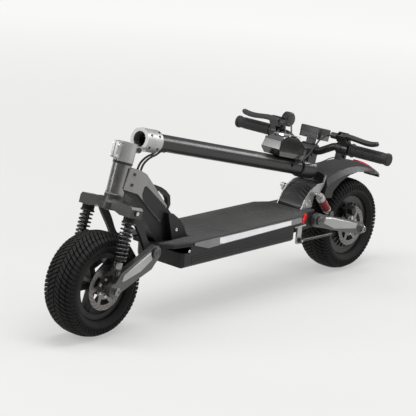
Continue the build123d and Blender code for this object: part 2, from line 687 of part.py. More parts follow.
lever_axis_at = at_grip(LEVER_FORWARD * cos(radians(LEVER_PITCH)), -LEVER_FORWARD * sin(radians(LEVER_PITCH)))
button_at = (GRIP_FORWARD - 24, POD_Y[1], BAR_AT + 10)


def pitched(shape):
    """Turns something drawn straight ahead of the bar down to where the levers sit."""
    return Pos(GRIP_FORWARD, 0, BAR_AT) * Rot(0, LEVER_PITCH, 0) * Pos(-GRIP_FORWARD, 0, -BAR_AT) * shape


def hinge_housing():
    end = HOUSE_END
    body = post(HOUSING_R, MOUTH, end)
    body = fillet(body.edges().filter_by(GeomType.CIRCLE).sort_by(Axis.Z)[-1], 5)
    for low_y, high_y in ((-EAR_OUT, -KNUCKLE_HALF - GAP), (KNUCKLE_HALF + GAP, EAR_OUT)):
        body += cross((-HINGE_BACK, 0), low_y, high_y, KNUCKLE_R)
        body += block((-HINGE_BACK - 2, low_y, 0), (-HINGE_BACK + KNUCKLE_R, high_y, MOUTH + 12))
    body -= cross((-HINGE_BACK, 0), -EAR_OUT, EAR_OUT, HINGE_PIN_R + RUNNING)
    body -= post(STEM_R, STEM_SOCKET, end)
    return body - post(STEM_R - 2, MOUTH, STEM_SOCKET)


def stem_tube():
    tube = post(STEM_R, STEM_SOCKET, STEM_END)
    tube -= post(STEM_R - STEM_WALL, STEM_SOCKET, STEM_END)
    tube -= cable_entries(lever_axis_at[1])
    return tube - block((-STEM_R - 1, -12, HOUSE_END + 6), (-STEM_R + 8, 12, HOUSE_END + 42))


def bar_clamp():
    """The cap on the stem's end with the forward clamp that grips the bar, and the display's bracket."""
    low = BAR_AT - CLAMP_SLEEVE / 2
    body = post(CLAMP_SLEEVE_R, low, STEM_END + 4)
    body = fillet(body.edges().filter_by(GeomType.CIRCLE), 4)
    body += block((0, -20, BAR_AT - 19), (BAR_FORWARD, 20, BAR_AT + 19))
    body += cross((BAR_FORWARD, BAR_AT), -24, 24, BAR_R + 8)
    body += block((BAR_FORWARD, -12, BAR_AT - 8), (DISPLAY_AT[0] - DISPLAY_SIZE[0] / 2, 12, BAR_AT + 8))
    body -= post(STEM_R, low, STEM_END)
    return body - cross((BAR_FORWARD, BAR_AT), -24, 24, BAR_R)


def bar_route(half):
    """Points of the handlebar's centre line out to a half width."""
    points = [
        (BAR_FORWARD, -BAR_STRAIGHT, BAR_AT), (BAR_FORWARD, BAR_STRAIGHT, BAR_AT),
        (GRIP_FORWARD, BAR_BEND_END, BAR_AT), (GRIP_FORWARD, half, BAR_AT),
    ]
    return [(GRIP_FORWARD, -half, BAR_AT), (GRIP_FORWARD, -BAR_BEND_END, BAR_AT)] + points


def handlebar():
    return tube_along(bar_route(BAR_HALF - 4), 45, BAR_R, BAR_R - 2)


def grip():
    start = BAR_HALF - GRIP_LENGTH
    body = cross(at_grip(0, 0), start, BAR_HALF, GRIP_R)
    body = fillet(body.edges().filter_by(GeomType.CIRCLE), 2.5)
    return body - cross(at_grip(0, 0), start, BAR_HALF - 4, BAR_R)


def lever_perch():
    """The clamp on the bar with the two ears that hold a brake lever, and its hose fitting."""
    low_y = PERCH_Y - PERCH_WIDTH / 2
    high_y = PERCH_Y + PERCH_WIDTH / 2
    x = GRIP_FORWARD + LEVER_FORWARD
    slot = LEVER_HEIGHT / 2 + GAP
    ear = slot + 3
    inboard = LEVER_PIVOT_Y - PERCH_INBOARD
    body = cross(at_grip(0, 0), low_y, high_y, PERCH_R)
    body += block((GRIP_FORWARD, low_y, BAR_AT - ear), (x + 9, high_y, BAR_AT + ear))
    body += block((x - 13, inboard, BAR_AT - ear), (x + 9, low_y + 1, BAR_AT + ear))
    body += rod((x - 3, inboard - TANK_LENGTH, BAR_AT), (x - 3, inboard + 1, BAR_AT), ear - 1)
    body -= block((x - 10, inboard + 3, BAR_AT - slot), (x + 20, high_y + 1, BAR_AT + slot))
    body += Pos(x, LEVER_PIVOT_Y, BAR_AT) * post(3, -ear, ear)
    return pitched(body - cross(at_grip(0, 0), low_y, high_y, BAR_R))


def brake_lever():
    x = GRIP_FORWARD + LEVER_FORWARD
    y = LEVER_PIVOT_Y
    eye = Pos(x, y, BAR_AT) * post(8, -LEVER_HEIGHT / 2, LEVER_HEIGHT / 2)
    half = LEVER_THICK / 2
    outer = Spline((x + 7, y + 4), (x + 9, y + 30), (x + half, y + 72), (x + half + 4, y + LEVER_LENGTH))
    inner = Spline((x - half + 4, y + LEVER_LENGTH), (x - half, y + 72), (x - 1, y + 30), (x - 7, y + 3))
    face = make_face([outer, Line(outer @ 1, inner @ 0), inner, Line(inner @ 1, outer @ 0)])
    blade = Pos(0, 0, BAR_AT - LEVER_HEIGHT / 2) * extrude(face, amount=LEVER_HEIGHT)
    ball = Pos(x + 4, y + LEVER_LENGTH, BAR_AT) * Sphere(LEVER_HEIGHT / 2)
    return pitched(blade + eye + ball - Pos(x, y, BAR_AT) * post(3 + RUNNING, -20, 20))


def display_unit():
    body = Pos(*DISPLAY_AT) * Box(*DISPLAY_SIZE)
    body = fillet(body.edges().filter_by(Axis.X), 9)
    return fillet(body.edges().sort_by(Axis.X)[-1], 3)


LAMP_FOOT = BAR_AT - 186
LAMP_TOP = BAR_AT - 52
LAMP_HALF = 34.0
LAMP_FRONT = 84.0


def headlight_housing():
    """A faceted shell that tapers to the stem, with a seat for the lens on its front."""
    base = STEM_R + GAP
    outline = [
        (base, LAMP_FOOT + 14), (base + 18, LAMP_FOOT), (LAMP_FRONT - 16, LAMP_FOOT + 6),
        (LAMP_FRONT, LAMP_FOOT + 40), (LAMP_FRONT, LAMP_TOP - 46), (LAMP_FRONT - 30, LAMP_TOP),
        (base, LAMP_TOP - 10),
    ]
    body = profile(outline, -LAMP_HALF, LAMP_HALF, corner=6)
    plan = make_face(Polyline((0, -20), (0, 20), (base + 14, LAMP_HALF), (LAMP_FRONT, LAMP_HALF - 8),
                              (LAMP_FRONT, -LAMP_HALF + 8), (base + 14, -LAMP_HALF), close=True))
    body = body & (Pos(0, 0, LAMP_FOOT - 5) * extrude(plan, amount=LAMP_TOP - LAMP_FOOT + 10))
    return body - lamp_space()


def lamp_space():
    """The pocket that the lens fills."""
    half = LAMP_HALF - 12
    return fillet(block((LAMP_FRONT - 8, -half, LAMP_FOOT + 42),
                        (LAMP_FRONT + 5, half, LAMP_TOP - 50)).edges().filter_by(Axis.X), 8)


def headlight_lens():
    half = LAMP_HALF - 12
    lens = block((LAMP_FRONT - 8, -half, LAMP_FOOT + 42), (LAMP_FRONT + 1.5, half, LAMP_TOP - 50))
    return fillet(lens.edges().filter_by(Axis.X), 8)


def bell():
    """A dome bell on a foot, clamped to the bar's right side."""
    at = at_grip(BELL_FORWARD, BELL_UP)
    low_y, high_y = BELL_Y
    foot_end = low_y + BELL_FOOT
    dome = fillet(cross(at, low_y, high_y, BELL_R).edges().filter_by(GeomType.CIRCLE), 4)
    foot = cross(at_grip(0, 0), low_y, foot_end, PERCH_R - 2)
    foot += block((GRIP_FORWARD, low_y, BAR_AT - 5), (at[0] - 6, foot_end, BAR_AT + 8))
    return dome + foot - cross(at_grip(0, 0), low_y, foot_end, BAR_R)


def switch_pod():
    """A small switch box clamped on the bar beside the left perch; its button pocket faces the rider."""
    low_y, high_y = POD_Y
    pod = cross(at_grip(0, 0), low_y, high_y, PERCH_R)
    pod += block((GRIP_FORWARD - 36, low_y, BAR_AT - 8), (GRIP_FORWARD, high_y, BAR_AT + 22))
    pod -= Pos(*button_at) * Rot(-90, 0, 0) * Cylinder(BUTTON_R + GAP, 2 * BUTTON_DEPTH)
    return pod - cross(at_grip(0, 0), low_y, high_y, BAR_R)


def mode_button():
    reach = (BUTTON_DEPTH + BUTTON_PROUD) / 2
    middle = Pos(button_at[0], button_at[1] + (BUTTON_PROUD - BUTTON_DEPTH) / 2 + BUTTON_TRAVEL, button_at[2])
    return middle * Rot(-90, 0, 0) * Cylinder(BUTTON_R, 2 * reach - 2 * BUTTON_TRAVEL)


def throttle_body():
    """The clamp and housing of the thumb throttle, inboard of the right grip."""
    low_y, high_y = THROTTLE_Y
    body = cross(at_grip(0, 0), low_y, high_y, PERCH_R)
    body += block((GRIP_FORWARD - 34, low_y, BAR_AT - 9), (GRIP_FORWARD, high_y, BAR_AT + 13))
    body -= cross(at_grip(*PADDLE_AT), low_y - 1, high_y - 3, PADDLE_SHAFT_R + RUNNING)
    return body - cross(at_grip(0, 0), low_y, high_y, BAR_R)


def throttle_paddle():
    """The thumb paddle, on a shaft parallel to the bar."""
    low_y, high_y = THROTTLE_Y
    outer = low_y - GAP
    paddle = cross(at_grip(*PADDLE_AT), outer - 14, high_y - 6, PADDLE_SHAFT_R)
    paddle += cross(at_grip(*PADDLE_AT), outer - 16, outer, 6)
    x, z = at_grip(*PADDLE_AT)
    tongue = block((x - 26, outer - 16, z - 4), (x, outer, z + 4))
    return paddle + fillet(tongue.edges().filter_by(Axis.Y), 3)


def bar_cables():
    """Both brake hoses and the switch lead, from the controls into the stem's side."""
    x, z = lever_axis_at
    cables = []
    for side in (1, -1):
        route = [
            (x - 2.4, side * (LEVER_PIVOT_Y - PERCH_INBOARD - TANK_LENGTH - 0.6), z + 1.8), (x - 6, side * 66, z + 3),
            (x - 26, side * 52, z - 8), (44, side * 44, z - 30), (20, side * 38, z - 52),
            (5, side * 23, z - 66),
        ]
        cables.append(tube_along(route, [10, 12, 14, 12], CABLE_R))
    return cables


def cable_entries(z):
    """Holes in the stem's sides where the hoses go in."""
    holes = None
    for side in (1, -1):
        hole = rod((20, side * 38, z - 52), (-1, side * 17, z - 72), CABLE_R + 2.5)
        holes = hole if holes is None else holes + hole
    return holes


stem_at = stem_frame.location
keep("stem_hinge_housing", stem_at * hinge_housing())
keep("stem_tube", stem_at * stem_tube())
keep("bar_clamp", stem_at * bar_clamp())
keep("handlebar", stem_at * handlebar())
keep("grips", *[stem_at * shape for shape in both_sides(grip())])
keep("lever_perches", *[stem_at * shape for shape in both_sides(lever_perch())])
left_lever, right_lever = both_sides(brake_lever())
keep("left_brake_lever", stem_at * left_lever)
keep("right_brake_lever", stem_at * right_lever)
keep("display_unit", stem_at * display_unit())
keep("headlight_housing", stem_at * headlight_housing())
keep("headlight_lens", stem_at * headlight_lens())
keep("bell", stem_at * bell())
keep("switch_pod", stem_at * switch_pod())
keep("mode_button", stem_at * mode_button())
keep("throttle_body", stem_at * throttle_body())
keep("throttle_paddle", stem_at * throttle_paddle())
keep("bar_cables", *[stem_at * cable for cable in bar_cables()])


# ---- neck -----------------------------------------------------------------------------------------
NECK_TOP = 76.0
NECK_FOOT = 16.0
FOOT_HALF = 45.0
NECK_RISE = 145.9        # head tube's foot above the deck plate, at which the heights below are drawn


def neck_at(back, rise):
    """A point of the neck as (X, Z): how far behind the head tube's foot, how far above the plate."""
    return (head_foot[0] - back, PLATE_TOP + rise * (head_foot[1] - PLATE_TOP) / NECK_RISE)


neck_upper = [neck_at(61.4, 209), neck_at(86.4, 195), neck_at(111.4, 167), neck_at(191.4, 78),
              neck_at(212.4, 57), neck_at(231.4, 35), neck_at(241.4, 14)]
neck_lower = [neck_at(140.4, 4), neck_at(108.4, 51), neck_at(50.4, 126)]
neck_window = [neck_at(77.4, 165), neck_at(181.4, 80), neck_at(148.4, 61), neck_at(77.4, 141)]
cheek_top = [neck_at(164.4, 82), neck_at(186.4, 76), neck_at(212.4, 57)]
cheek_foot = neck_at(180.4, 27)


def head_space():
    return head * post(HEAD_TUBE_R, -10, HEAD_TUBE_LENGTH + 10)


def neck_core():
    """The hollow box that joins the head tube to the deck, with a cheek on each side of its foot."""
    outline = [steer(0, NECK_TOP), *neck_upper, neck_at(241.4, 0), neck_at(148.4, 0), *neck_lower,
               steer(0, NECK_FOOT)]
    core = profile(outline, -NECK_HALF, NECK_HALF) - head_space()
    hollow = [neck_at(73.4, 181), neck_at(93.4, 167), neck_at(198.4, 51), neck_at(220.4, 16),
              neck_at(163.4, 16), neck_at(126.4, 58), neck_at(73.4, 128)]
    core -= profile(hollow, -NECK_HALF + 5, NECK_HALF - 5)
    pad = profile(neck_window, NECK_HALF, NECK_HALF + PLATE_THICK - 1, corner=8)
    cheek = [*cheek_top, *neck_upper[5:], neck_at(253.4, 0), neck_at(187.4, 0), cheek_foot]
    side = profile(cheek, NECK_HALF, FOOT_HALF, corner=3)
    for shape in both_sides(pad + side):
        core += shape
    for side_y in (-6, 6):
        cable_x, cable_z = neck_at(85.4, 195)
        core -= post(NECK_CABLE_R + 2, cable_z - 19, cable_z + 21, at=(cable_x, side_y))
    return core


def neck_plate():
    """A side plate with the window that shows the core's pad."""
    outline = [steer(-3, NECK_TOP), *neck_upper[:3], neck_at(174.4, 96), cheek_top[0],
               neck_at(150.4, 56), neck_at(56.4, 145), steer(2, NECK_FOOT + 3)]
    plate = profile(outline, NECK_HALF, NECK_HALF + PLATE_THICK)
    cheek = [*cheek_top, cheek_foot]
    plate -= profile(neck_window, NECK_HALF - 1, NECK_HALF + PLATE_THICK + 1, corner=8)
    plate -= profile(cheek, NECK_HALF - 1, NECK_HALF + PLATE_THICK + 1)
    return plate - head_space()


def carry_hook():
    """The loop behind the neck that the folded stem's strap or a lock goes through."""
    outer = [neck_at(145.4, 129), neck_at(145.4, 154), neck_at(172.4, 143), neck_at(192.4, 131),
             neck_at(209.4, 115), neck_at(213.4, 90), neck_at(201.4, 68)]
    inner = [neck_at(160.4, 114), neck_at(158.4, 136), neck_at(176.4, 128), neck_at(192.4, 115),
             neck_at(200.4, 104), neck_at(201.4, 82), neck_at(196.4, 76)]
    hook = profile(outer, -7, 7, corner=2) - profile(inner, -8, 8, corner=2)
    outline = [steer(0, NECK_TOP), *neck_upper, neck_at(241.4, 0), neck_at(148.4, 0), *neck_lower]
    return hook - profile(outline, -NECK_HALF, NECK_HALF)


keep("neck_core", neck_core())
keep("neck_side_plates", *both_sides(neck_plate()))
keep("carry_hook", carry_hook())


# ---- deck -----------------------------------------------------------------------------------------
def deck_outline(half, shrink=0.0):
    """The plan of the deck, narrow at the rear arms and rounded at the front."""
    rear = DECK_REAR_HALF - shrink
    points = [
        (DECK_REAR_X + shrink, 0), (DECK_REAR_X + shrink, rear), (262, rear + 1), (306, half),
        (DECK_FRONT_X - 86, half), (DECK_FRONT_X - 28, half - 12), (DECK_FRONT_X - shrink, half - 42), (DECK_FRONT_X - shrink, 0),
    ]
    return points + [(x, -y) for x, y in reversed(points[1:-1])]


def slab(points, low, high):
    """A plan outline as thick as the space between two heights."""
    return Pos(0, 0, low) * extrude(make_face(Polyline(*points, close=True)), amount=high - low)


def deck_frame():
    frame = slab(deck_outline(DECK_HALF), PLATE_BOTTOM, PLATE_TOP)
    for side in (-1, 1):
        low_y, high_y = sorted((side * (DECK_HALF - RAIL_WIDTH), side * DECK_HALF))
        frame += block((310, low_y, RAIL_BOTTOM), (DECK_FRONT_X - 86, high_y, PLATE_BOTTOM))
        low_y, high_y = sorted((side * LUG_IN, side * LUG_OUT))
        lug = [(DECK_REAR_X - 22, DECK_TOP - 38), (DECK_REAR_X + 2, DECK_TOP - 52), (330, DECK_TOP - 56),
               (330, PLATE_BOTTOM + 1), (DECK_REAR_X, PLATE_BOTTOM + 1), (DECK_REAR_X - 22, DECK_TOP - 20)]
        frame += profile(lug, low_y, high_y, corner=4)
    frame += block((DECK_REAR_X + 40, -LUG_IN, DECK_TOP - 42), (DECK_REAR_X + 60, LUG_IN, PLATE_BOTTOM))
    return frame


def battery_box():
    """The open-topped tray under the deck; its front leans forward at the bottom."""
    top = RAIL_BOTTOM
    plan = [(BOX_REAR_X + 12, 0), (BOX_REAR_X + 12, LUG_IN - 1), (BOX_REAR_X + 12, BOX_HALF),
            (BOX_FRONT_X - 6, BOX_HALF), (BOX_FRONT_X, BOX_HALF - 10), (BOX_FRONT_X, 0)]
    plan += [(x, -y) for x, y in reversed(plan[1:-1])]
    tray = slab(plan, BOX_BOTTOM, top)
    tray = chamfer(tray.edges().filter_by(Axis.X).sort_by(Axis.Z)[:2], 6)
    inner = block((BOX_REAR_X + 12 + BOX_WALL, -BOX_HALF + BOX_WALL, BOX_BOTTOM + BOX_WALL + 4),
                  (BOX_FRONT_X - 12, BOX_HALF - BOX_WALL, top + 1))
    tray -= inner
    return tray


def mat():
    rubber = slab(deck_outline(DECK_HALF + TRIM_THICK, -1.0), PLATE_TOP, DECK_TOP)
    foot = block((neck_at(254.4, 0)[0], -FOOT_HALF - GAP, PLATE_TOP - 1), (DECK_FRONT_X + 5, FOOT_HALF + GAP, DECK_TOP + 1))
    foot_rest = block((DECK_REAR_X - 2, -KICK_HALF - KICK_SIDE - GAP, PLATE_TOP - 1),
                      (KICK_FRONT_X + GAP, KICK_HALF + KICK_SIDE + GAP, DECK_TOP + 1))
    return rubber - foot - foot_rest


def side_trim():
    front = DECK_FRONT_X - 96
    outline = [(306, DECK_TOP - 21), (306, PLATE_TOP), (front, PLATE_TOP), (front, DECK_TOP - 12),
               (front - 58, DECK_TOP - 29), (front - 120, DECK_TOP - 27)]
    return profile(outline, DECK_HALF, DECK_HALF + TRIM_THICK)


def side_reflector():
    """A lens on the slanted corner between the trim and the rear arm."""
    slope = degrees(atan2(DECK_HALF - DECK_REAR_HALF - 1, 306 - 262))
    lens = fillet(Box(38, 6, 16).edges().filter_by(Axis.Y), 5)
    return Pos(281, DECK_HALF - 6.5, DECK_TOP - 14) * Rot(0, 0, slope) * Rot(0, 18, 0) * lens


def above_deck(x, height):
    """An (X, Z) point a height above the deck's top."""
    return (x, DECK_TOP + height)


def kick_plate():
    """The raised foot rest that curves up to the fender."""
    upper = Spline(*[above_deck(*at) for at in ((252, 6), (231, 32), (196, 53), (149.2, 63))])
    lower = Spline(*[above_deck(*at) for at in ((151, 57.8), (193, 48), (227, 29), (247, 4))])
    face = make_face([upper, Line(upper @ 1, lower @ 0), lower, Line(lower @ 1, upper @ 0)])
    plate = Pos(0, -KICK_HALF, 0) * extrude(Plane.XZ * face, amount=-2 * KICK_HALF)
    plate += block((214, -KICK_HALF, DECK_TOP), (254, KICK_HALF, DECK_TOP + 5))
    return plate + block((DECK_REAR_X + 2, -KICK_HALF, PLATE_TOP), (254, KICK_HALF, DECK_TOP + 1))


def kick_bracket():
    """The side plate of the foot rest, with the stud for the rear damper's eye."""
    outline = [above_deck(*at) for at in (
        (KICK_FRONT_X, -MAT_THICK), (DECK_REAR_X + 2, -MAT_THICK), (DECK_REAR_X + 2, 0), (204, 0), (197, 34), (169, 40), (153, 57), (146, 88), (150, 88), (158, 67), (184, 66),
        (216, 51), (238, 28),
    )]
    low_y = KICK_HALF
    plate = profile(outline, low_y, low_y + KICK_SIDE, corner=1.5)
    plate += cross(REAR_SHOCK_TOP, low_y, low_y + KICK_SIDE, 9)
    plate += cross(REAR_SHOCK_TOP, low_y, REAR_SHOCK_Y + 6 + GAP, SHOCK_PIN_R)
    return plate + cross(REAR_SHOCK_TOP, REAR_SHOCK_Y + 6 + GAP, REAR_SHOCK_Y + 9, SHOCK_PIN_R + 2)


FENDER_CENTRE = (30.6, TYRE_R - 130.1)
FENDER_R = 327.0
FENDER_CEILING = FENDER_CENTRE[1] + FENDER_R + 10


def fender_crown(shrink):
    """The barrel-shaped space under the fender's crest."""
    half = FENDER_HALF - shrink
    crest = FENDER_R - shrink
    outline = [(0, -half), (crest - 27, -half), (crest - 11, -half + 10), (crest - 2, -half + 28),
               (crest, -14), (crest, 14), (crest - 2, half - 28), (crest - 11, half - 10),
               (crest - 27, half), (0, half)]
    return Pos(FENDER_CENTRE[0], 0, FENDER_CENTRE[1]) * turned(outline)


def rear_fender():
    region = [(139, FENDER_CEILING), (139, 318), (160, 262), (163, 252), (124, 247), (117, 268), (83, 292),
              (40, 306), (0, 310), (-60, 300), (-110, 284), (FENDER_TAIL_X, 256),
              (FENDER_TAIL_X, FENDER_CEILING)]
    outer = profile(region, -FENDER_HALF, FENDER_HALF) & fender_crown(0)
    room = [(139 - FENDER_WALL, FENDER_CEILING), (139 - FENDER_WALL, 317), (156, 262), (159, 240), (-200, 200),
            (FENDER_TAIL_X - 5, 262), (FENDER_TAIL_X + 14, 268),
            (FENDER_TAIL_X + 14, FENDER_CEILING)]
    inner = profile(room, -FENDER_HALF + FENDER_WALL, FENDER_HALF - FENDER_WALL) & fender_crown(FENDER_WALL)
    plan = [(FENDER_TAIL_X, 22), (FENDER_TAIL_X + 60, 46), (-10, FENDER_HALF), (180, FENDER_HALF)]
    plan += [(x, -y) for x, y in reversed(plan)]
    return (outer - inner) & slab(plan, 200, FENDER_CEILING)


def tail_light():
    outline = [(FENDER_R, -12), (FENDER_R + 4, -10), (FENDER_R + 4, 10), (FENDER_R, 12)]
    ring = turned(outline)
    lamp = ring & block((-180, -20, 200), (-92, 20, 340))
    return Pos(FENDER_CENTRE[0], 0, FENDER_CENTRE[1]) * lamp


def rear_stud():
    stud = cross(REAR_PIVOT, LUG_OUT, REAR_ARM_IN + REAR_ARM_THICK + 1, PIVOT_STUD_R)
    return stud + cross(REAR_PIVOT, rear_outer + GAP, rear_outer + 4, 12)


def neck_screw(at):
    return cross(at, NECK_HALF + PLATE_THICK, NECK_HALF + PLATE_THICK + 2.5, 4)


def kickstand_bracket():
    x, z = STAND_PIVOT
    inner = STAND_Y - STAND_HUB / 2 - GAP - 6
    plate = block((x - 10, inner, z - 12), (x + 10, inner + 6, RAIL_BOTTOM - 4))
    plate = fillet(plate.edges().filter_by(Axis.Y).sort_by(Axis.Z)[:2], 6)
    plate += block((x - 22, inner - 4, RAIL_BOTTOM - 4), (x + 28, inner + 10, RAIL_BOTTOM))
    stud = cross(STAND_PIVOT, inner + 6, STAND_Y + STAND_HUB / 2 + 3, 4)
    return plate + stud


def kickstand():
    x, z = STAND_PIVOT
    leg = cross(STAND_PIVOT, STAND_Y - STAND_HUB / 2, STAND_Y + STAND_HUB / 2, 8)
    leg += rod((x - 5, STAND_Y, z), (x - STAND_LENGTH, STAND_Y, z - 4), STAND_R)
    return leg - cross(STAND_PIVOT, STAND_Y - 20, STAND_Y + 20, 4 + RUNNING)


def neck_cables():
    """Two leads from the stem's grommet over the hinge's back into the top of the neck."""
    cables = []
    for y in (-6, 6):
        route = [(at[0], y, at[1]) for at in (
            neck_at(162.4, 244.5), neck_at(145.4, 235.5), neck_at(122.4, 232), neck_at(101.4, 222),
            neck_at(87.4, 207), neck_at(84.4, 188),
        )]
        cables.append(tube_along(route, [14, 20, 24, 16], NECK_CABLE_R))
    return cables


keep("deck_frame", deck_frame())
keep("battery_box", battery_box())
floor = BOX_BOTTOM + BOX_WALL + 4
pack_end = BOX_FRONT_X - 158
keep("battery_pack", block((BOX_REAR_X + 30, -74, floor), (pack_end, 74, RAIL_BOTTOM - 2)))
keep("motor_controller", block((pack_end + 15, -42, floor), (pack_end + 135, 42, floor + 22)))
keep("deck_mat", mat())
keep("side_trims", *both_sides(side_trim()))
keep("red_lenses", tail_light(), *both_sides(side_reflector()))
keep("kick_plate", kick_plate())
keep("kick_plate_brackets", *both_sides(kick_bracket()))
keep("rear_fender", rear_fender())
screws = [shape for at in (neck_at(38.4, 201), neck_at(30.4, 174)) for shape in both_sides(neck_screw(at))]
keep("frame_bolts", *both_sides(rear_stud()), *screws)
keep("kickstand_bracket", kickstand_bracket())
keep("kickstand", kickstand())
keep("neck_cables", *neck_cables())

# ---- export ---------------------------------------------------------------------------------------
os.makedirs("parts", exist_ok=True)
for name, solids in parts.items():
    group = Compound(children=[Pos(-ORIGIN_SHIFT, 0, 0) * solid for solid in solids])
    export_step(group, f"parts/{name}.step")
print(len(parts), "nodes")
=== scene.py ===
"""Looks for a folded electric kick scooter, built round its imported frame.  Metres, +X forward, +Z up."""
import bpy
import bmesh
import json
import math
from mathutils import Matrix, Vector, noise

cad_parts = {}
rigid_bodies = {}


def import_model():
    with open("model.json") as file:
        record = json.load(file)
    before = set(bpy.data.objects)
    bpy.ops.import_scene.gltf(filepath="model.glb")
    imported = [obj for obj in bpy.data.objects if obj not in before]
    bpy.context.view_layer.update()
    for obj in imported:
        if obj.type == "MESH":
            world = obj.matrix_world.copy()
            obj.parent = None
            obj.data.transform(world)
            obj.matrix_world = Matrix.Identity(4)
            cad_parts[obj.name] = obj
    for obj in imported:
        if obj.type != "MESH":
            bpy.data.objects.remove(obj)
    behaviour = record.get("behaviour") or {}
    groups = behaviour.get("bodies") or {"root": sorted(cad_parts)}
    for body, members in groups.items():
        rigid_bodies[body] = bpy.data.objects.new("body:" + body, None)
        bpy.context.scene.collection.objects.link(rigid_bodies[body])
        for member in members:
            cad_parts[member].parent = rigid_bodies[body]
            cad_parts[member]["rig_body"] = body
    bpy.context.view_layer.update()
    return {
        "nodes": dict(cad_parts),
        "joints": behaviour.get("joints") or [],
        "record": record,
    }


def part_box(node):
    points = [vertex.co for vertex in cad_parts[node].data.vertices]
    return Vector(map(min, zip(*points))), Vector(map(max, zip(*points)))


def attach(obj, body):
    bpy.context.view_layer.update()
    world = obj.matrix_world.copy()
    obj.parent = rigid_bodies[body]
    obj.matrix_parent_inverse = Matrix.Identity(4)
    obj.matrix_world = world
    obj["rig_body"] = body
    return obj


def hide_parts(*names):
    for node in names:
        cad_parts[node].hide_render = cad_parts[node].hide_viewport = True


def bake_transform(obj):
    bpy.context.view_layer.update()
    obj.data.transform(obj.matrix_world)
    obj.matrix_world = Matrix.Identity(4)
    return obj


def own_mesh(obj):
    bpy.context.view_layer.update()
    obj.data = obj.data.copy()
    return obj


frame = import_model()
nodes = frame["nodes"]
joints = {joint["name"]: joint for joint in frame["joints"]}

MM = 0.001
SIDES = (1, -1)
SHIFT = 0.519                      # rear axle to the row's origin, along X
DECK_TOP = 0.228
RAKE = math.radians(15.0)
STEM_ANGLE = math.radians(13.5)    # the folded stem's slope below level
HINGE_BACK = 0.028                 # from the fold pin to the stem's own axis


# ---- finishes -------------------------------------------------------------------------------------
def finish(name, colour, rough, metal=0.0, grain=0.0, grain_size=900.0, mottle=0.12, mottle_size=14.0,
           brush=None, coat=0.0, rough_spread=0.08, shine=0.5):
    """A procedural finish: mottled colour, uneven gloss, and a grain or brushed relief."""
    made = bpy.data.materials.new(name)
    made.use_nodes = True
    tree = made.node_tree
    shader = tree.nodes["Principled BSDF"]
    shader.inputs["Metallic"].default_value = metal
    shader.inputs["Coat Weight"].default_value = coat
    shader.inputs["Coat Roughness"].default_value = 0.12
    shader.inputs["Specular IOR Level"].default_value = shine
    place = tree.nodes.new("ShaderNodeTexCoord")

    def clouds(scale, detail, stretch=(1, 1, 1)):
        turn = tree.nodes.new("ShaderNodeMapping")
        turn.inputs["Scale"].default_value = stretch
        tree.links.new(place.outputs["Object"], turn.inputs["Vector"])
        cloud = tree.nodes.new("ShaderNodeTexNoise")
        cloud.inputs["Scale"].default_value = scale
        cloud.inputs["Detail"].default_value = detail
        tree.links.new(turn.outputs["Vector"], cloud.inputs["Vector"])
        return cloud.outputs["Fac"]

    tint = tree.nodes.new("ShaderNodeValToRGB")
    dark = [c * (1 - mottle) for c in colour]
    light = [min(1.0, c * (1 + mottle)) for c in colour]
    tint.color_ramp.elements[0].position = 0.32
    tint.color_ramp.elements[0].color = (*dark, 1)
    tint.color_ramp.elements[1].position = 0.68
    tint.color_ramp.elements[1].color = (*light, 1)
    tree.links.new(clouds(mottle_size, 5), tint.inputs["Fac"])
    tree.links.new(tint.outputs["Color"], shader.inputs["Base Color"])

    gloss = tree.nodes.new("ShaderNodeMapRange")
    gloss.inputs["To Min"].default_value = max(0.02, rough - rough_spread)
    gloss.inputs["To Max"].default_value = min(1.0, rough + rough_spread)
    tree.links.new(clouds(mottle_size * 4, 6), gloss.inputs["Value"])
    tree.links.new(gloss.outputs["Result"], shader.inputs["Roughness"])

    if grain:
        relief = tree.nodes.new("ShaderNodeBump")
        relief.inputs["Strength"].default_value = grain
        relief.inputs["Distance"].default_value = 0.0004
        tree.links.new(clouds(grain_size, 3, brush or (1, 1, 1)), relief.inputs["Height"])
        tree.links.new(relief.outputs["Normal"], shader.inputs["Normal"])
    return made


tyre_rubber = finish("tyre_rubber", (0.008, 0.0078, 0.0075), 0.72, shine=0.22, grain=0.35, grain_size=700)
grip_rubber = finish("grip_rubber", (0.013, 0.013, 0.013), 0.60, shine=0.35, grain=0.3, grain_size=1500)
mat_rubber = finish("mat_rubber", (0.036, 0.036, 0.035), 0.60, shine=0.4, grain=0.25, grain_size=1400)
powder_black = finish("powder_black", (0.010, 0.010, 0.010), 0.45, shine=0.35, grain=0.22, grain_size=1800)
satin_black = finish("satin_black", (0.011, 0.011, 0.011), 0.34, shine=0.5, grain=0.02, grain_size=1200)
gunmetal = finish("gunmetal", (0.27, 0.265, 0.26), 0.24, metal=1.0, grain=0.02, grain_size=1400)
warm_grey = finish("warm_grey", (0.235, 0.23, 0.22), 0.46, metal=0.25, grain=0.15, grain_size=1700)
silver_cast = finish("silver_cast", (0.40, 0.40, 0.395), 0.44, metal=0.8, grain=0.06, grain_size=1500)
brushed_steel = finish("brushed_steel", (0.55, 0.55, 0.56), 0.28, metal=1.0, grain=0.15, grain_size=500,
                       brush=(1, 8, 1))
bright_steel = finish("bright_steel", (0.75, 0.75, 0.76), 0.16, metal=1.0, mottle=0.05)
disc_steel = finish("disc_steel", (0.20, 0.19, 0.185), 0.32, metal=0.95, grain=0.2, grain_size=600,
                    brush=(1, 1, 6))
dark_plastic = finish("dark_plastic", (0.013, 0.013, 0.013), 0.42, shine=0.4, grain=0.25, grain_size=2200)
fender_plastic = finish("fender_plastic", (0.012, 0.012, 0.012), 0.40, shine=0.35, grain=0.15,
                        grain_size=2200)
trim_grey = finish("trim_grey", (0.20, 0.20, 0.205), 0.45, metal=0.3, grain=0.1, grain_size=2000)
reflex_white = finish("reflex_white", (0.78, 0.78, 0.80), 0.32, grain=0.5, grain_size=600, mottle=0.05)
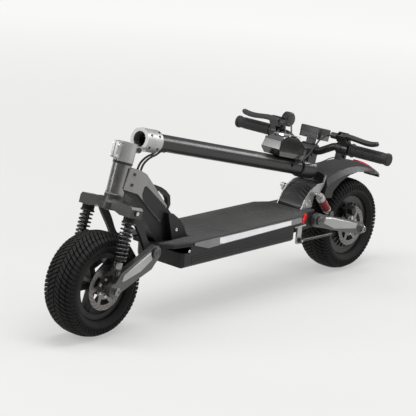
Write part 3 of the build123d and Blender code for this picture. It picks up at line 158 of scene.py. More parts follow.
red_reflex = finish("red_reflex", (0.62, 0.018, 0.012), 0.18, grain=0.5, grain_size=500, coat=0.6)
spring_black = finish("spring_black", (0.014, 0.014, 0.015), 0.28, metal=0.1, coat=0.4)
spring_red = finish("spring_red", (0.20, 0.010, 0.008), 0.34, metal=0.1, coat=0.3)
cable_black = finish("cable_black", (0.014, 0.014, 0.015), 0.42, grain=0.1, grain_size=1800)
display_glass = finish("display_glass", (0.010, 0.011, 0.013), 0.08, coat=1.0, mottle=0.02,
                       rough_spread=0.02)
lamp_chrome = finish("lamp_chrome", (0.80, 0.80, 0.81), 0.08, metal=1.0, mottle=0.03, rough_spread=0.02)
lamp_glass = finish("lamp_glass", (0.62, 0.65, 0.68), 0.06, mottle=0.05, coat=1.0, rough_spread=0.02)
crown_grey = finish("crown_grey", (0.045, 0.044, 0.043), 0.36, metal=0.5, grain=0.1, mottle=0.06)
lamp_shell = finish("lamp_shell", (0.10, 0.10, 0.098), 0.22, metal=0.85, mottle=0.05, coat=0.4)
arm_grey = finish("arm_grey", (0.11, 0.11, 0.108), 0.36, metal=0.7, grain=0.1, mottle=0.06)

node_finish = {
    tyre_rubber: "front_tyre rear_tyre",
    mat_rubber: "deck_mat",
    grip_rubber: "grips",
    powder_black: "front_rim fork_legs front_caliper rear_caliper battery_box carry_hook neck_core "
                  "deck_frame",
    satin_black: "rear_hub_motor steerer_tube handlebar lever_perches kickstand kick_plate stem_tube "
                 "front_shock_bodies motor_controller battery_pack bar_clamp front_shock_rods "
                 "left_brake_lever right_brake_lever frame_bolts fork_pins",
    gunmetal: "head_tube headset_bearings",
    warm_grey: "neck_side_plates",
    crown_grey: "fork_crown",
    arm_grey: "front_arms rear_arms",
    silver_cast: "stem_clamp stem_hinge_housing kick_plate_brackets rear_shock_bodies "
                 "rear_shock_rods kickstand_bracket",
    brushed_steel: "front_axle rear_axle front_wheel_bearings",
    disc_steel: "front_brake_disc rear_brake_disc",
    fender_plastic: "rear_fender",
    lamp_shell: "headlight_housing",
    dark_plastic: "switch_pod throttle_body throttle_paddle mode_button bell",
    trim_grey: "side_trims",
    red_reflex: "red_lenses",
    spring_black: "front_springs",
    spring_red: "rear_springs",
    cable_black: "neck_cables bar_cables",
    display_glass: "display_unit",
    lamp_glass: "headlight_lens",
}
finish_of = {}
for surface, names in node_finish.items():
    for name in names.split():
        finish_of[name] = surface
        nodes[name].data.materials.clear()
        nodes[name].data.materials.append(surface)
body_nodes = frame["record"]["behaviour"]["bodies"]
body_of = {name: body for body, names in body_nodes.items() for name in names}


# ---- building tools -------------------------------------------------------------------------------
def sharpen(mesh, angle=38.0):
    """Smooth shading that breaks at edges sharper than the angle."""
    for face in mesh.polygons:
        face.use_smooth = True
    mesh.set_sharp_from_angle(angle=math.radians(angle))


def piece(name, mesh, surface, body, angle=38.0):
    """Puts a finished mesh on a body with its finish."""
    mesh.materials.clear()
    mesh.materials.append(surface)
    sharpen(mesh, angle)
    made = bpy.data.objects.new(name, mesh)
    bpy.context.scene.collection.objects.link(made)
    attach(made, body)
    return made


def plain_mesh(shape):
    """A mesh of an edited shape, with its faces as they are."""
    mesh = bpy.data.meshes.new("shape")
    shape.to_mesh(mesh)
    shape.free()
    return mesh


def as_mesh(shape):
    """A mesh of an edited shape, with normals outward."""
    bmesh.ops.recalc_face_normals(shape, faces=shape.faces)
    return plain_mesh(shape)


def loft(shape, loops, cap_start=False, cap_end=False):
    """Bridges rings of equally many points into a skin."""
    rings = [[shape.verts.new(point) for point in loop] for loop in loops]
    count = len(rings[0])
    for low, high in zip(rings, rings[1:]):
        for n in range(count):
            m = (n + 1) % count
            shape.faces.new((low[n], low[m], high[m], high[n]))
    if cap_start:
        shape.faces.new(list(reversed(rings[0])))
    if cap_end:
        shape.faces.new(rings[-1])
    return rings


def circle(radius, height, count):
    """Points round a circle at a height."""
    turns = [math.tau * n / count for n in range(count)]
    return [(radius * math.cos(turn), radius * math.sin(turn), height) for turn in turns]


def hexagon(radius, height, count):
    """Points round a hexagon's outline, as many as on the circle outside it."""
    ring = []
    for n in range(count):
        turn = math.tau * n / count
        reach = radius * math.cos(math.pi / 6) / math.cos(turn % (math.pi / 3) - math.pi / 6)
        ring.append((reach * math.cos(turn), reach * math.sin(turn), height))
    return ring


def lathe(shape, outline, count, place=Matrix()):
    """Turns (radius, height) points about Z, then puts the result in its place."""
    loops = [[place @ Vector(point) for point in circle(radius, height, count)] for radius, height in outline]
    loft(shape, loops, outline[0][0] > 0, outline[-1][0] > 0)


def bolt(shape, place, radius, height, socket=True):
    """A button head with a hexagon socket, or a plain hexagon nut with a washer face."""
    count = 24
    chamfer = radius * 0.18
    if socket:
        loops = [circle(radius, -0.001, count), circle(radius, height - chamfer, count),
                 circle(radius - chamfer, height, count), hexagon(radius * 0.55, height, count),
                 hexagon(radius * 0.52, height * 0.35, count)]
    else:
        loops = [circle(radius * 1.12, -0.001, count), circle(radius * 1.12, height * 0.15, count),
                 hexagon(radius, height * 0.15, count), hexagon(radius, height - chamfer, count),
                 circle(radius * 0.82, height, count)]
    loft(shape, [[place @ Vector(point) for point in loop] for loop in loops], False, True)


def facing(at, direction):
    """A place whose Z looks along a direction."""
    return Matrix.Translation(Vector(at)) @ Vector(direction).to_track_quat("Z", "Y").to_matrix().to_4x4()


def frame_at(origin, z_axis, x_axis):
    """A place from its origin, its Z and its X."""
    z_axis = Vector(z_axis).normalized()
    x_axis = Vector(x_axis).normalized()
    y_axis = z_axis.cross(x_axis)
    turn = Matrix((x_axis, y_axis, z_axis)).transposed().to_4x4()
    return Matrix.Translation(Vector(origin)) @ turn


steering = frame_at(joints["steer"]["pos_m"], (-math.sin(RAKE), 0, math.cos(RAKE)),
                    (math.cos(RAKE), 0, math.sin(RAKE)))
stem_z = Vector((-math.cos(STEM_ANGLE), 0, -math.sin(STEM_ANGLE)))
stem_x = Vector((-math.sin(STEM_ANGLE), 0, math.cos(STEM_ANGLE)))
stem = frame_at(Vector(joints["stem_fold"]["pos_m"]) + stem_x * HINGE_BACK, stem_z, stem_x)
front_axle = Vector(joints["front_spin"]["pos_m"])
rear_axle = Vector(joints["rear_spin"]["pos_m"])

SOFT_ANGLE = 32                    # in degrees: edges sharper than this are rounded


def softened(name, width, segments=2):
    """A CAD node with its hard edges rounded, standing for the node."""
    shape = bmesh.new()
    shape.from_mesh(nodes[name].data)
    bmesh.ops.remove_doubles(shape, verts=shape.verts, dist=2e-6)
    bmesh.ops.dissolve_limit(shape, angle_limit=math.radians(0.6), verts=shape.verts, edges=shape.edges)
    made = piece(name + "_soft", plain_mesh(shape), finish_of[name], body_of[name], SOFT_ANGLE)
    rounding = made.modifiers.new("edges", "BEVEL")
    rounding.width = width
    rounding.segments = segments
    rounding.limit_method = "ANGLE"
    rounding.angle_limit = math.radians(SOFT_ANGLE)
    rounding.harden_normals = True
    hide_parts(name)
    return made


for name, width in (("fork_crown", 1.2), ("front_arms", 1.2), ("rear_arms", 1.2), ("stem_clamp", 0.8),
                    ("neck_core", 0.8), ("neck_side_plates", 0.8), ("carry_hook", 1.5),
                    ("battery_box", 1.0), ("kick_plate_brackets", 0.5),
                    ("fork_legs", 1.2), ("headlight_housing", 2.0), ("kick_plate", 1.0), ("side_trims", 1.0)):
    softened(name, width * MM)


# ---- repeats --------------------------------------------------------------------------------------
def repeat_tree(name, turning):
    """A node tree that repeats a block Count times: round Y, or along a step."""
    tree = bpy.data.node_groups.new(name, "GeometryNodeTree")
    interface = tree.interface
    interface.new_socket("Geometry", in_out="OUTPUT", socket_type="NodeSocketGeometry")
    for label, kind in (("Block", "Object"), ("Count", "Int"), ("Step", "Vector"), ("Surface", "Material")):
        interface.new_socket(label, in_out="INPUT", socket_type="NodeSocket" + kind)
    given = tree.nodes.new("NodeGroupInput")
    made = tree.nodes.new("NodeGroupOutput")
    line = tree.nodes.new("GeometryNodeMeshLine")
    block = tree.nodes.new("GeometryNodeObjectInfo")
    spread = tree.nodes.new("GeometryNodeInstanceOnPoints")
    index = tree.nodes.new("GeometryNodeInputIndex")
    scaled = tree.nodes.new("ShaderNodeVectorMath")
    scaled.operation = "SCALE"
    solid = tree.nodes.new("GeometryNodeRealizeInstances")
    painted = tree.nodes.new("GeometryNodeSetMaterial")
    link = tree.links.new
    link(given.outputs["Block"], block.inputs["Object"])
    link(given.outputs["Count"], line.inputs["Count"])
    line.inputs["Offset"].default_value = (0, 0, 0)
    link(given.outputs["Step"], scaled.inputs[0])
    link(index.outputs[0], scaled.inputs["Scale"])
    link(line.outputs[0], spread.inputs["Points"])
    link(block.outputs["Geometry"], spread.inputs["Instance"])
    if turning:
        link(scaled.outputs[0], spread.inputs["Rotation"])
    else:
        link(given.outputs["Step"], line.inputs["Offset"])
    link(spread.outputs[0], solid.inputs[0])
    link(solid.outputs[0], painted.inputs["Geometry"])
    link(given.outputs["Surface"], painted.inputs["Material"])
    link(painted.outputs[0], made.inputs[0])
    return tree


round_tree = repeat_tree("round_the_axle", True)
row_tree = repeat_tree("in_a_row", False)


def repeated(tree, block_mesh, count, step, surface, place=Matrix()):
    """The mesh of a block repeated by a tree, in its place."""
    scene_objects = bpy.context.scene.collection.objects
    block = bpy.data.objects.new("block", block_mesh)
    carrier = bpy.data.objects.new("carrier", bpy.data.meshes.new("carrier"))
    scene_objects.link(block)
    scene_objects.link(carrier)
    repeat = carrier.modifiers.new("repeat", "NODES")
    repeat.node_group = tree
    values = {"Block": block, "Count": count, "Step": step, "Surface": surface}
    for item in tree.interface.items_tree:
        if item.in_out == "INPUT":
            repeat[item.identifier] = values[item.name]
    bpy.context.view_layer.update()
    evaluated = carrier.evaluated_get(bpy.context.evaluated_depsgraph_get())
    mesh = bpy.data.meshes.new_from_object(evaluated)
    bpy.data.objects.remove(carrier)
    bpy.data.objects.remove(block)
    mesh.transform(place)
    return mesh


# ---- tyres ----------------------------------------------------------------------------------------
TREAD_R = 140.0
CROWN = [(0, TREAD_R), (15, TREAD_R), (32, 136.0), (47, 127.0), (49, 114.0), (49.2, 90.0)]
KNOB_DEPTH = 8.0
PITCHES = 33
ARC = math.tau * TREAD_R / PITCHES


def crown_radius(y):
    """The tread's outer radius at a distance from the middle, in millimetres."""
    y = abs(y)
    for (y0, r0), (y1, r1) in zip(CROWN, CROWN[1:]):
        if y <= y1:
            return r0 + (r1 - r0) * (y - y0) / (y1 - y0)
    return CROWN[-1][1]


def knob(shape, outline, depth=KNOB_DEPTH, taper=0.92):
    """One tread block from its (Y, arc) outline, narrower at the top."""
    middle_y = sum(y for y, s in outline) / len(outline)
    middle_s = sum(s for y, s in outline) / len(outline)
    loops = []
    for drop, share in ((depth, 1.06), (0.9, 1.0), (0.0, taper)):
        ring = []
        for y, s in outline:
            at_y = middle_y + (y - middle_y) * share
            turn = (middle_s + (s - middle_s) * share) / TREAD_R
            reach = crown_radius(at_y) - drop
            ring.append((reach * MM * math.sin(turn), at_y * MM, reach * MM * math.cos(turn)))
        loops.append(ring)
    loft(shape, loops, False, True)


def tread_pitch():
    """The blocks of one pitch: a staggered pair in the middle, a pair beside it and a shoulder lug a side."""
    shape = bmesh.new()
    blocks = (
        [(0.8, 0), (8, 4), (18.5, 13), (18.5, 22.5), (8, 14.5), (0.8, 10.5)],
        [(20, 14), (34.5, 23), (34.5, 32), (20, 23.5)],
        [(36, 24), (46.8, 27), (47.2, 39), (36, 33)],
    )
    half = ARC / 2
    for side, lag in ((1, 0.0), (1, half), (-1, half / 2), (-1, half * 1.5)):
        for outline in blocks:
            points = [(side * y, s + lag) for y, s in outline]
            knob(shape, points if side > 0 else list(reversed(points)))
        lug = [(side * 48.0, 8 + lag), (side * 48.6, 20 + lag)]
        for y, s in lug:
            turn = s / TREAD_R
            reach = Vector((math.sin(turn), 0, math.cos(turn)))
            base = [reach * r * MM + Vector((0, w * MM, 0)) for r, w in
                    ((126, side * 45.5), (126, side * 48.6), (112, side * 49.0), (112, side * 45.5))]
            aside = Vector((math.cos(turn), 0, -math.sin(turn))) * 2.6 * MM
            loft(shape, [[p - aside for p in base], [p + aside for p in base]], True, True)
    return as_mesh(shape)


def tyre(name, axle, body):
    """A smooth carcass with rows of tread blocks round it."""
    carcass = bmesh.new()
    half = [(0, 131.5), (15, 131.5), (33, 127.5), (44.5, 120.0), (47.5, 112.0), (48.6, 106.0), (47.6, 105.0),
            (47.4, 102.0), (46.6, 101.4), (44.0, 96.5), (40.0, 93.5), (39.0, 92.2), (36.0, 91.6),
            (30.5, 90.6), (29.0, 89.7), (28.2, 88.6), (28.0, 81.0)]
    outline = [(r, -y) for y, r in reversed(half)] + [(r, y) for y, r in half[1:]]
    upright = Matrix.Rotation(math.radians(-90), 4, "X")
    loops = [[upright @ Vector(p) for p in circle(r * MM, y * MM, 144)] for r, y in outline]
    loft(carcass, loops + [loops[0]])
    bmesh.ops.remove_doubles(carcass, verts=carcass.verts, dist=1e-6)
    mesh = as_mesh(carcass)
    mesh.transform(Matrix.Translation(axle))
    made = piece(name + "_carcass", mesh, tyre_rubber, body, 50)
    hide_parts(name)
    treads = repeated(round_tree, tread_pitch(), PITCHES, (0, math.tau / PITCHES, 0), tyre_rubber,
                      Matrix.Translation(axle))
    piece(name + "_tread", treads, tyre_rubber, body, 30)


tyre("front_tyre", front_axle, "front_wheel")
tyre("rear_tyre", rear_axle, "rear_wheel")


# ---- brake discs ----------------------------------------------------------------------------------
def mesh_of(curve):
    """A curve's mesh, without the curve."""
    carrier = bpy.data.objects.new("curve", curve)
    bpy.context.scene.collection.objects.link(carrier)
    bpy.context.view_layer.update()
    mesh = bpy.data.meshes.new_from_object(carrier.evaluated_get(bpy.context.evaluated_depsgraph_get()))
    bpy.data.objects.remove(carrier)
    bpy.data.curves.remove(curve)
    return mesh


def flat_plate(loops, thick, place):
    """A plate cut to an outline with holes: loops of (x, y) points, in metres."""
    curve = bpy.data.curves.new("plate", "CURVE")
    curve.dimensions = "2D"
    curve.fill_mode = "BOTH"
    curve.extrude = thick / 2
    for loop in loops:
        line = curve.splines.new("POLY")
        line.points.add(len(loop) - 1)
        for point, (x, y) in zip(line.points, loop):
            point.co = (x, y, 0, 1)
        line.use_cyclic_u = True
    shape = bmesh.new()
    shape.from_mesh(mesh_of(curve))
    bmesh.ops.remove_doubles(shape, verts=shape.verts, dist=1e-6)
    mesh = as_mesh(shape)
    mesh.transform(place)
    return mesh


def ring_points(radius, count, at=(0.0, 0.0)):
    """Points round a circle about a centre, in the plate's own plane."""
    return [(at[0] + x, at[1] + y) for x, y, z in circle(radius, 0, count)]


DISC_R = 61.0                      # this and the radii below are in millimetres
DISC_NOTCH = 1.1
HOLE_ROWS = (57.5, 53.5, 49.5)
WINDOW_R = (46, 31)
WINDOW_LAG = math.radians(11)      # how far a window's inner edge trails its outer one
DISC_BORE = 15
HUB_BOLT_R = 22


def brake_disc(name, axle, body):
    """A drilled ring on a six-arm spider, with the bolts that hold it."""
    rim = []
    for n in range(96):
        reach = (DISC_R - DISC_NOTCH * (n % 8 > 5)) * MM
        rim.append((reach * math.cos(math.tau * n / 96), reach * math.sin(math.tau * n / 96)))
    loops = [rim]
    for row, radius in enumerate(HOLE_ROWS):
        for n in range(24):
            turn = math.tau * (n + row / 3) / 24
            at = (radius * MM * math.cos(turn), radius * MM * math.sin(turn))
            loops.append(ring_points(1.45 * MM, 10, at))
    for n in range(6):
        start, end = math.tau * (n + 0.13) / 6, math.tau * (n + 0.87) / 6
        outward = [start + (end - start) * k / 8 for k in range(9)]
        inward = [end - WINDOW_LAG - (end - start - 0.12) * k / 8 for k in range(9)]
        loops.append([(radius * MM * math.cos(turn), radius * MM * math.sin(turn))
                      for radius, turns in zip(WINDOW_R, (outward, inward)) for turn in turns])
    loops.append(ring_points(DISC_BORE * MM, 32))
    low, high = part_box(name)
    middle = (low[1] + high[1]) / 2
    place = Matrix.Translation((axle.x, middle, axle.z)) @ Matrix.Rotation(math.radians(-90), 4, "X")
    made = piece(name + "_drilled", flat_plate(loops, 0.0019, place), disc_steel, body)
    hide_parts(name)
    hub_bolts = bmesh.new()
    for n in range(6):
        turn = math.tau * (n + 0.5) / 6
        at = (axle.x + HUB_BOLT_R * MM * math.cos(turn), high[1], axle.z + HUB_BOLT_R * MM * math.sin(turn))
        bolt(hub_bolts, facing(at, (0, 1, 0)), 0.0042, 0.0028)
    piece(name + "_bolts", as_mesh(hub_bolts), bright_steel, body, 40)


brake_disc("front_brake_disc", front_axle, "front_wheel")
brake_disc("rear_brake_disc", rear_axle, "rear_wheel")

# ---- deck -----------------------------------------------------------------------------------------
MAT_EDGE = [(-0.252, 0.063), (-0.213, 0.084), (0.255, 0.084), (0.315, 0.072), (0.343, 0.045)]
RIB_PITCH = 0.0100
RIB_RISE = 0.0019
GRID_X = 0.0022
GRID_Y = 0.0013
FOOT_BLOCK = (0.224, 0.050)


def mat_half(x):
    """Half the ribbed field's width at a distance along the deck."""
    for (x0, y0), (x1, y1) in zip(MAT_EDGE, MAT_EDGE[1:]):
        if x0 <= x <= x1:
            return y0 + (y1 - y0) * (x - x0) / (x1 - x0)
    return 0.0


def rib_height(x, y):
    """Contour-like ribs that run along the deck and bend round slow swirls."""
    swirl = noise.noise((x * 5.5, y * 9.0, 3.1)) * 3.4 + noise.noise((x * 13, y * 16, 7.7)) * 0.7
    wave = math.cos(math.tau * (y / RIB_PITCH + swirl))
    edge = min(1.0, max(0.0, (mat_half(x) - abs(y)) / 0.003))
    return (max(-0.4, min(1.0, 1.6 * wave + 0.2)) * RIB_RISE) * edge - RIB_RISE * 0.8 * (1 - edge)


def ribbed_field():
    """A raised skin over the mat whose crests are the ribs."""
    shape = bmesh.new()
    columns = int((MAT_EDGE[-1][0] - MAT_EDGE[0][0]) / GRID_X)
    rows = int(0.172 / GRID_Y)
    grid = {}
    for i in range(columns + 1):
        x = MAT_EDGE[0][0] + i * GRID_X
        for j in range(rows + 1):
            y = -0.086 + j * GRID_Y
            under_foot = x > FOOT_BLOCK[0] and abs(y) < FOOT_BLOCK[1]
            if abs(y) <= mat_half(x) + GRID_Y and not under_foot:
                grid[i, j] = shape.verts.new((x, y, DECK_TOP + rib_height(x, y)))
    for i, j in list(grid):
        corners = [grid.get(key) for key in ((i, j), (i + 1, j), (i + 1, j + 1), (i, j + 1))]
        if all(corners):
            shape.faces.new(corners)
    return plain_mesh(shape)


piece("deck_mat_ribs", ribbed_field(), mat_rubber, "frame", 60)


def slab(shape, outline, y_low, y_high):
    """A plate from its (X, Z) outline between two Y values, in metres."""
    loft(shape, [[(x, y, z) for x, z in outline] for y in (y_low, y_high)], True, True)


def on_both_sides(build):
    """One mesh holding a build for the left side and its mirror image."""
    shape = bmesh.new()
    for side in SIDES:
        build(shape, side)
    return as_mesh(shape)


def at_x(x):
    """A distance from the rear axle, in millimetres, as the row's X."""
    return x * MM - SHIFT


def strip_lens(shape, side):
    """The white reflective strip on the side trim."""
    edge = [(356, 208.5), (356, 221.5), (668, 221.5), (668, 206), (650, 203.5)]
    slab(shape, [(at_x(x), z * MM) for x, z in edge], side * 0.0921, side * 0.0930)


piece("side_reflector_strips", on_both_sides(strip_lens), reflex_white, "frame")


def tray_groove(shape, side):
    """Three long ribs on the battery tray's side."""
    for z in (183.0, 176.0, 169.0):
        slab(shape, [(at_x(345), (z - 1.6) * MM), (at_x(345), (z + 1.6) * MM), (at_x(770), (z + 1.6) * MM),
                     (at_x(776), (z - 1.6) * MM)], side * 0.0858, side * 0.0868)


piece("tray_ribs", on_both_sides(tray_groove), powder_black, "frame")


def kick_height(x):
    """The foot rest's top, from the end over the fender to the mat."""
    points = [(150, 291), (173, 287.5), (196, 281), (214, 272), (231, 260), (243, 246), (252, 234)]
    for (x0, z0), (x1, z1) in zip(points, points[1:]):
        if x <= x1:
            return z0 + (z1 - z0) * (x - x0) / (x1 - x0)
    return points[-1][1]


CHEVRON_PITCH = 10.5
CHEVRON_WIDTH = 4
CHEVRON_SLANT = 2.2                # how far a chevron falls back over one step of 6 mm


def chevrons(shape, side):
    """One half of the foot rest's slanted ribs, in short steps that follow its curve."""
    for n in range(8):
        for k in range(6):
            near = 160 + n * CHEVRON_PITCH + k * CHEVRON_SLANT
            far = near + CHEVRON_SLANT
            y_in, y_out = k * 6 + 1, k * 6 + 7
            loop = [(near, y_in), (far, y_out), (far + CHEVRON_WIDTH, y_out), (near + CHEVRON_WIDTH, y_in)]
            if far + CHEVRON_WIDTH > 250:
                continue
            low = [(at_x(x), side * y * MM, (kick_height(x) - 0.8) * MM) for x, y in loop]
            high = [(at_x(x), side * y * MM, (kick_height(x) + 1.3) * MM) for x, y in loop]
            loft(shape, [low, high], True, True)


piece("kick_plate_ribs", on_both_sides(chevrons), mat_rubber, "frame", 30)

# ---- head, fork and dampers -----------------------------------------------------------------------
def rings_on(place, outline, name, surface, body):
    """A turned ring from its (radius, height) outline in millimetres."""
    shape = bmesh.new()
    lathe(shape, [(r * MM, z * MM) for r, z in outline], 48, place)
    return piece(name, as_mesh(shape), surface, body, 35)


rings_on(steering, [(25.0, 82), (26.2, 82), (26.6, 83), (26.6, 87.6), (25.6, 88.2), (19, 88.2)],
         "head_tube_top_ring", satin_black, "frame")
rings_on(steering, [(25.0, 0.4), (26.0, 0.4), (26.4, 1.2), (26.4, 4.6), (25.0, 5.4)],
         "head_tube_lower_ring", gunmetal, "frame")

SHOCK_X, SHOCK_Y, SHOCK_TOP = 5.0, 75.0, -30.0
shock_shape = bmesh.new()
seat_shape = bmesh.new()
for side in SIDES:
    at = steering @ Matrix.Translation((SHOCK_X * MM, side * SHOCK_Y * MM, SHOCK_TOP * MM))
    thread = [(15.9, -17.5)]
    for n in range(9):
        top = -17.5 - n * 1.55
        thread += [(16.9, top - 0.35), (16.9, top - 0.8), (16.0, top - 1.3)]
    thread += [(18.6, -31.6), (19.0, -32.2), (19.0, -35.6), (18.2, -36.2), (13.6, -36.2)]
    lathe(shock_shape, [(r * MM, (z + 4.6) * MM) for r, z in thread], 40, at)
    foot = ((11.2, -132.6), (11.2, -146), (9.4, -150.5), (7.4, -150.5))
    lathe(seat_shape, [(r * MM, z * MM) for r, z in foot], 32, at)
piece("front_shock_collars", as_mesh(shock_shape), satin_black, "front_damper_upper", 30)
piece("front_shock_feet", as_mesh(seat_shape), gunmetal, "front_damper_lower", 30)


def heads(name, spots, surface, body, socket=True):
    """Bolt heads or nuts at (place, radius, height), as one piece."""
    shape = bmesh.new()
    for place, radius, height in spots:
        bolt(shape, place, radius * MM, height * MM, socket)
    return piece(name, as_mesh(shape), surface, body, 40)


def local(place, at, direction):
    """A bolt's place from a point in millimetres and a direction, both in a local frame."""
    point = place @ (Vector(at) * MM)
    way = place.to_3x3() @ Vector(direction)
    return facing(point, way)


CLAMP_Z = (100.0, 130.0)
heads("clamp_bolts", [(local(steering, (39, side * 9, z), (0, side, 0)), 4.2, 3.4)
                      for side in SIDES for z in CLAMP_Z], bright_steel, "fork")
HOUSING_R = 31.0
housing_bolts = []
for side in SIDES:
    for turn, z in ((58, 30), (58, 62), (122, 30), (122, 62), (-32, 66)):
        angle = math.radians(turn - 90)
        outward = Vector((-math.sin(angle), side * abs(math.cos(angle)), 0))
        at = outward * HOUSING_R + Vector((0, 0, z))
        housing_bolts.append((local(stem, at, outward), 3.6, 1.4))
heads("housing_bolts", housing_bolts, satin_black, "stem")
heads("shock_top_bolts", [(local(steering, (SHOCK_X, side * 95.8, SHOCK_TOP), (0, side, 0)), 5.0, 3.0)
                          for side in SIDES], bright_steel, "fork")
heads("crown_bolts", [(local(steering, (26.6, side * 14, -34), (1, 0, 0)), 3.4, 2.4) for side in SIDES],
      satin_black, "fork")

# ---- swing arms -----------------------------------------------------------------------------------
front_pivot = Vector(joints["front_suspension"]["pos_m"])
rear_pivot = Vector(joints["rear_suspension"]["pos_m"])


def pivot_cover(name, pivot, y, radius, body, surface):
    """A turned cover with a rim and a sunk middle on each arm's pivot."""
    shape = bmesh.new()
    for side in SIDES:
        place = facing((pivot.x, side * y, pivot.z), (0, side, 0))
        outline = [(radius, -1), (radius, 2.0), (radius - 1.2, 3.2), (radius - 3.0, 3.2), (radius - 3.6, 2.0),
                   (radius * 0.42, 2.0), (radius * 0.38, 3.6), (radius * 0.3, 3.6), (radius * 0.2, 2.2)]
        lathe(shape, [(r * MM, z * MM) for r, z in outline], 40, place)
    return piece(name, as_mesh(shape), surface, body, 30)


pivot_cover("front_pivot_covers", front_pivot, 0.0841, 13.5, "fork", arm_grey)
pivot_cover("rear_pivot_covers", rear_pivot, 0.0901, 12.5, "frame", arm_grey)


def arm_bevel(points, y, lift):
    """A bright raised panel with slanted edges on each arm's outer face."""
    def build(shape, side):
        low = [(x, side * y, z) for x, z in points]
        middle = Vector((sum(x for x, z in points), 0, sum(z for x, z in points))) / len(points)
        high = [(middle.x + (x - middle.x) * 0.97, side * (y + lift), middle.z + (z - middle.z) * 0.88)
                for x, z in points]
        loft(shape, [low, high], True, True)
    return on_both_sides(build)


def side_panel(points, y, lift):
    """A flat cover on each side."""
    def build(shape, side):
        slab(shape, points, side * y, side * (y + lift))
    return on_both_sides(build)


def axle_caps(name, axle, y, body):
    """The nut on each end of an axle."""
    heads(name, [(facing((axle.x, side * y, axle.z), (0, side, 0)), 9.5, 3.2) for side in SIDES],
          gunmetal, body)


def side_outline(points):
    """Side-view points in millimetres from the rear axle, as the row's (X, Z)."""
    return [(at_x(x), z * MM) for x, z in points]


HEAD_FOOT_X = 998.4                # the head tube's foot, from the rear axle
PLATE_TOP = 224.0                  # the deck plate under the mat


def neck_at(back, rise):
    """A point of the neck in millimetres, from how far behind the head tube's foot and above the plate."""
    return HEAD_FOOT_X - back, PLATE_TOP + rise


NECK_PANEL = ((80, 162), (88, 163), (168, 95), (163.5, 82), (151, 57.5), (78, 125.5), (73, 142))
piece("neck_panels", side_panel(side_outline(neck_at(*at) for at in NECK_PANEL), 0.0299, 0.0009),
      powder_black, "frame", 20)
FRONT_PANEL = ((930, 223), (1030, 176), (1036, 163), (1028, 158), (966, 176), (924, 204))
REAR_PANEL = ((20, 158), (26, 144), (134, 160), (192, 186), (184, 203), (154, 198))
for name, outline, y, body in (("front_arm_ribs", FRONT_PANEL, 0.0799, "front_arm"),
                               ("rear_arm_ribs", REAR_PANEL, 0.0859, "rear_arm")):
    piece(name, arm_bevel(side_outline(outline), y, 0.0022), silver_cast, body, 20)
axle_caps("front_axle_caps", front_axle, 0.0909, "front_arm")
axle_caps("rear_axle_caps", rear_axle, 0.0969, "rear_arm")

# ---- motor hub ------------------------------------------------------------------------------------
MOTOR_RIBS = 24


def hub_ribs():
    """One cooling rib of the motor's cover, to be repeated round the axle."""
    shape = bmesh.new()
    for side in SIDES:
        base = [(34, side * 41.0), (70, side * 31.0), (70, side * 33.0), (66, side * 35.4), (36, side * 43.4)]
        loft(shape, [[(t * MM, y * MM, r * MM) for r, y in base] for t in (-1.6, 1.6)], True, True)
    return as_mesh(shape)


motor_ribs = repeated(round_tree, hub_ribs(), MOTOR_RIBS, (0, math.tau / MOTOR_RIBS, 0), satin_black,
                      Matrix.Translation(rear_axle))
piece("motor_cover_ribs", motor_ribs, satin_black, "rear_wheel", 30)

# ---- stem and bar ---------------------------------------------------------------------------------
BAR_AT = 757.0
GRIP_FORWARD = 85.0


def stem_point(x, y, z):
    """A point of the stem's own frame, in millimetres, as the row's."""
    return stem @ (Vector((x, y, z)) * MM)


def grip_rib():
    """One raised pad of the grip's pattern, along Z and facing X."""
    shape = bmesh.new()
    corners = ((-0.16, -2.6), (0.16, -2.6), (0.16, 2.6), (-0.16, 2.6))
    loops = []
    for radius, spread in ((16.0 * MM, 1.0), (17.3 * MM, 0.7)):
        loops.append([(radius * math.cos(turn * spread), radius * math.sin(turn * spread), z * spread * MM)
                      for turn, z in corners])
    loft(shape, loops, False, True)
    return as_mesh(shape)


def on_bar(y, side=1):
    """A place on the grips' axis whose Z looks along the bar, outward from a side."""
    return (stem @ Matrix.Translation((GRIP_FORWARD * MM, y * MM, BAR_AT * MM))
            @ Matrix.Rotation(math.radians(-90 * side), 4, "X"))


GRIP_START = 168
PAD_PITCH = 7.2
PADS_ALONG = 13
PAD_ROWS = 12
GRIP_FLANGE = ((16, 0), (20, 0.6), (20.6, 2), (20, 4), (16.8, 6))
GRIP_END = ((16, -4), (18.2, -3), (18.6, 0), (18.2, 4), (16, 5.4))
grip_mesh = bmesh.new()
row = repeated(row_tree, grip_rib(), PADS_ALONG, (0, 0, PAD_PITCH * MM), grip_rubber)
for side in SIDES:
    start = GRIP_START if side > 0 else -GRIP_START - (PADS_ALONG - 1) * PAD_PITCH
    for n in range(PAD_ROWS):
        stagger = PAD_PITCH / 2 if n % 2 else 0
        copy = row.copy()
        copy.transform(on_bar(start + stagger) @ Matrix.Rotation(math.tau * n / PAD_ROWS, 4, "Z"))
        grip_mesh.from_mesh(copy)
    for y, outline in ((150, GRIP_FLANGE), (276, GRIP_END)):
        lathe(grip_mesh, [(r * MM, z * MM) for r, z in outline], 40, on_bar(side * y, side))
piece("grip_pattern", plain_mesh(grip_mesh), grip_rubber, "stem", 30)


def bell_ribs():
    """The bell's cap and its ribbed turning ring."""
    shape = bmesh.new()
    place = frame_at(stem_point(GRIP_FORWARD + 43, -118, BAR_AT + 8), (0, 1, 0), stem_x)
    outline = [(8, -0.6), (16, -0.6), (19.4, 0.6), (21.5, 3)]
    for n in range(6):
        z = 4.6 + n * 2.8
        outline += [(21.9, z), (21.9, z + 1.3), (20.8, z + 1.7), (20.8, z + 2.4)]
    outline += [(21.3, 21.6), (18, 24.4), (8, 25.4), (2, 25.6)]
    lathe(shape, [(r * MM, z * MM) for r, z in outline], 48, place)
    return as_mesh(shape)


piece("bell_ribs", bell_ribs(), satin_black, "stem", 30)


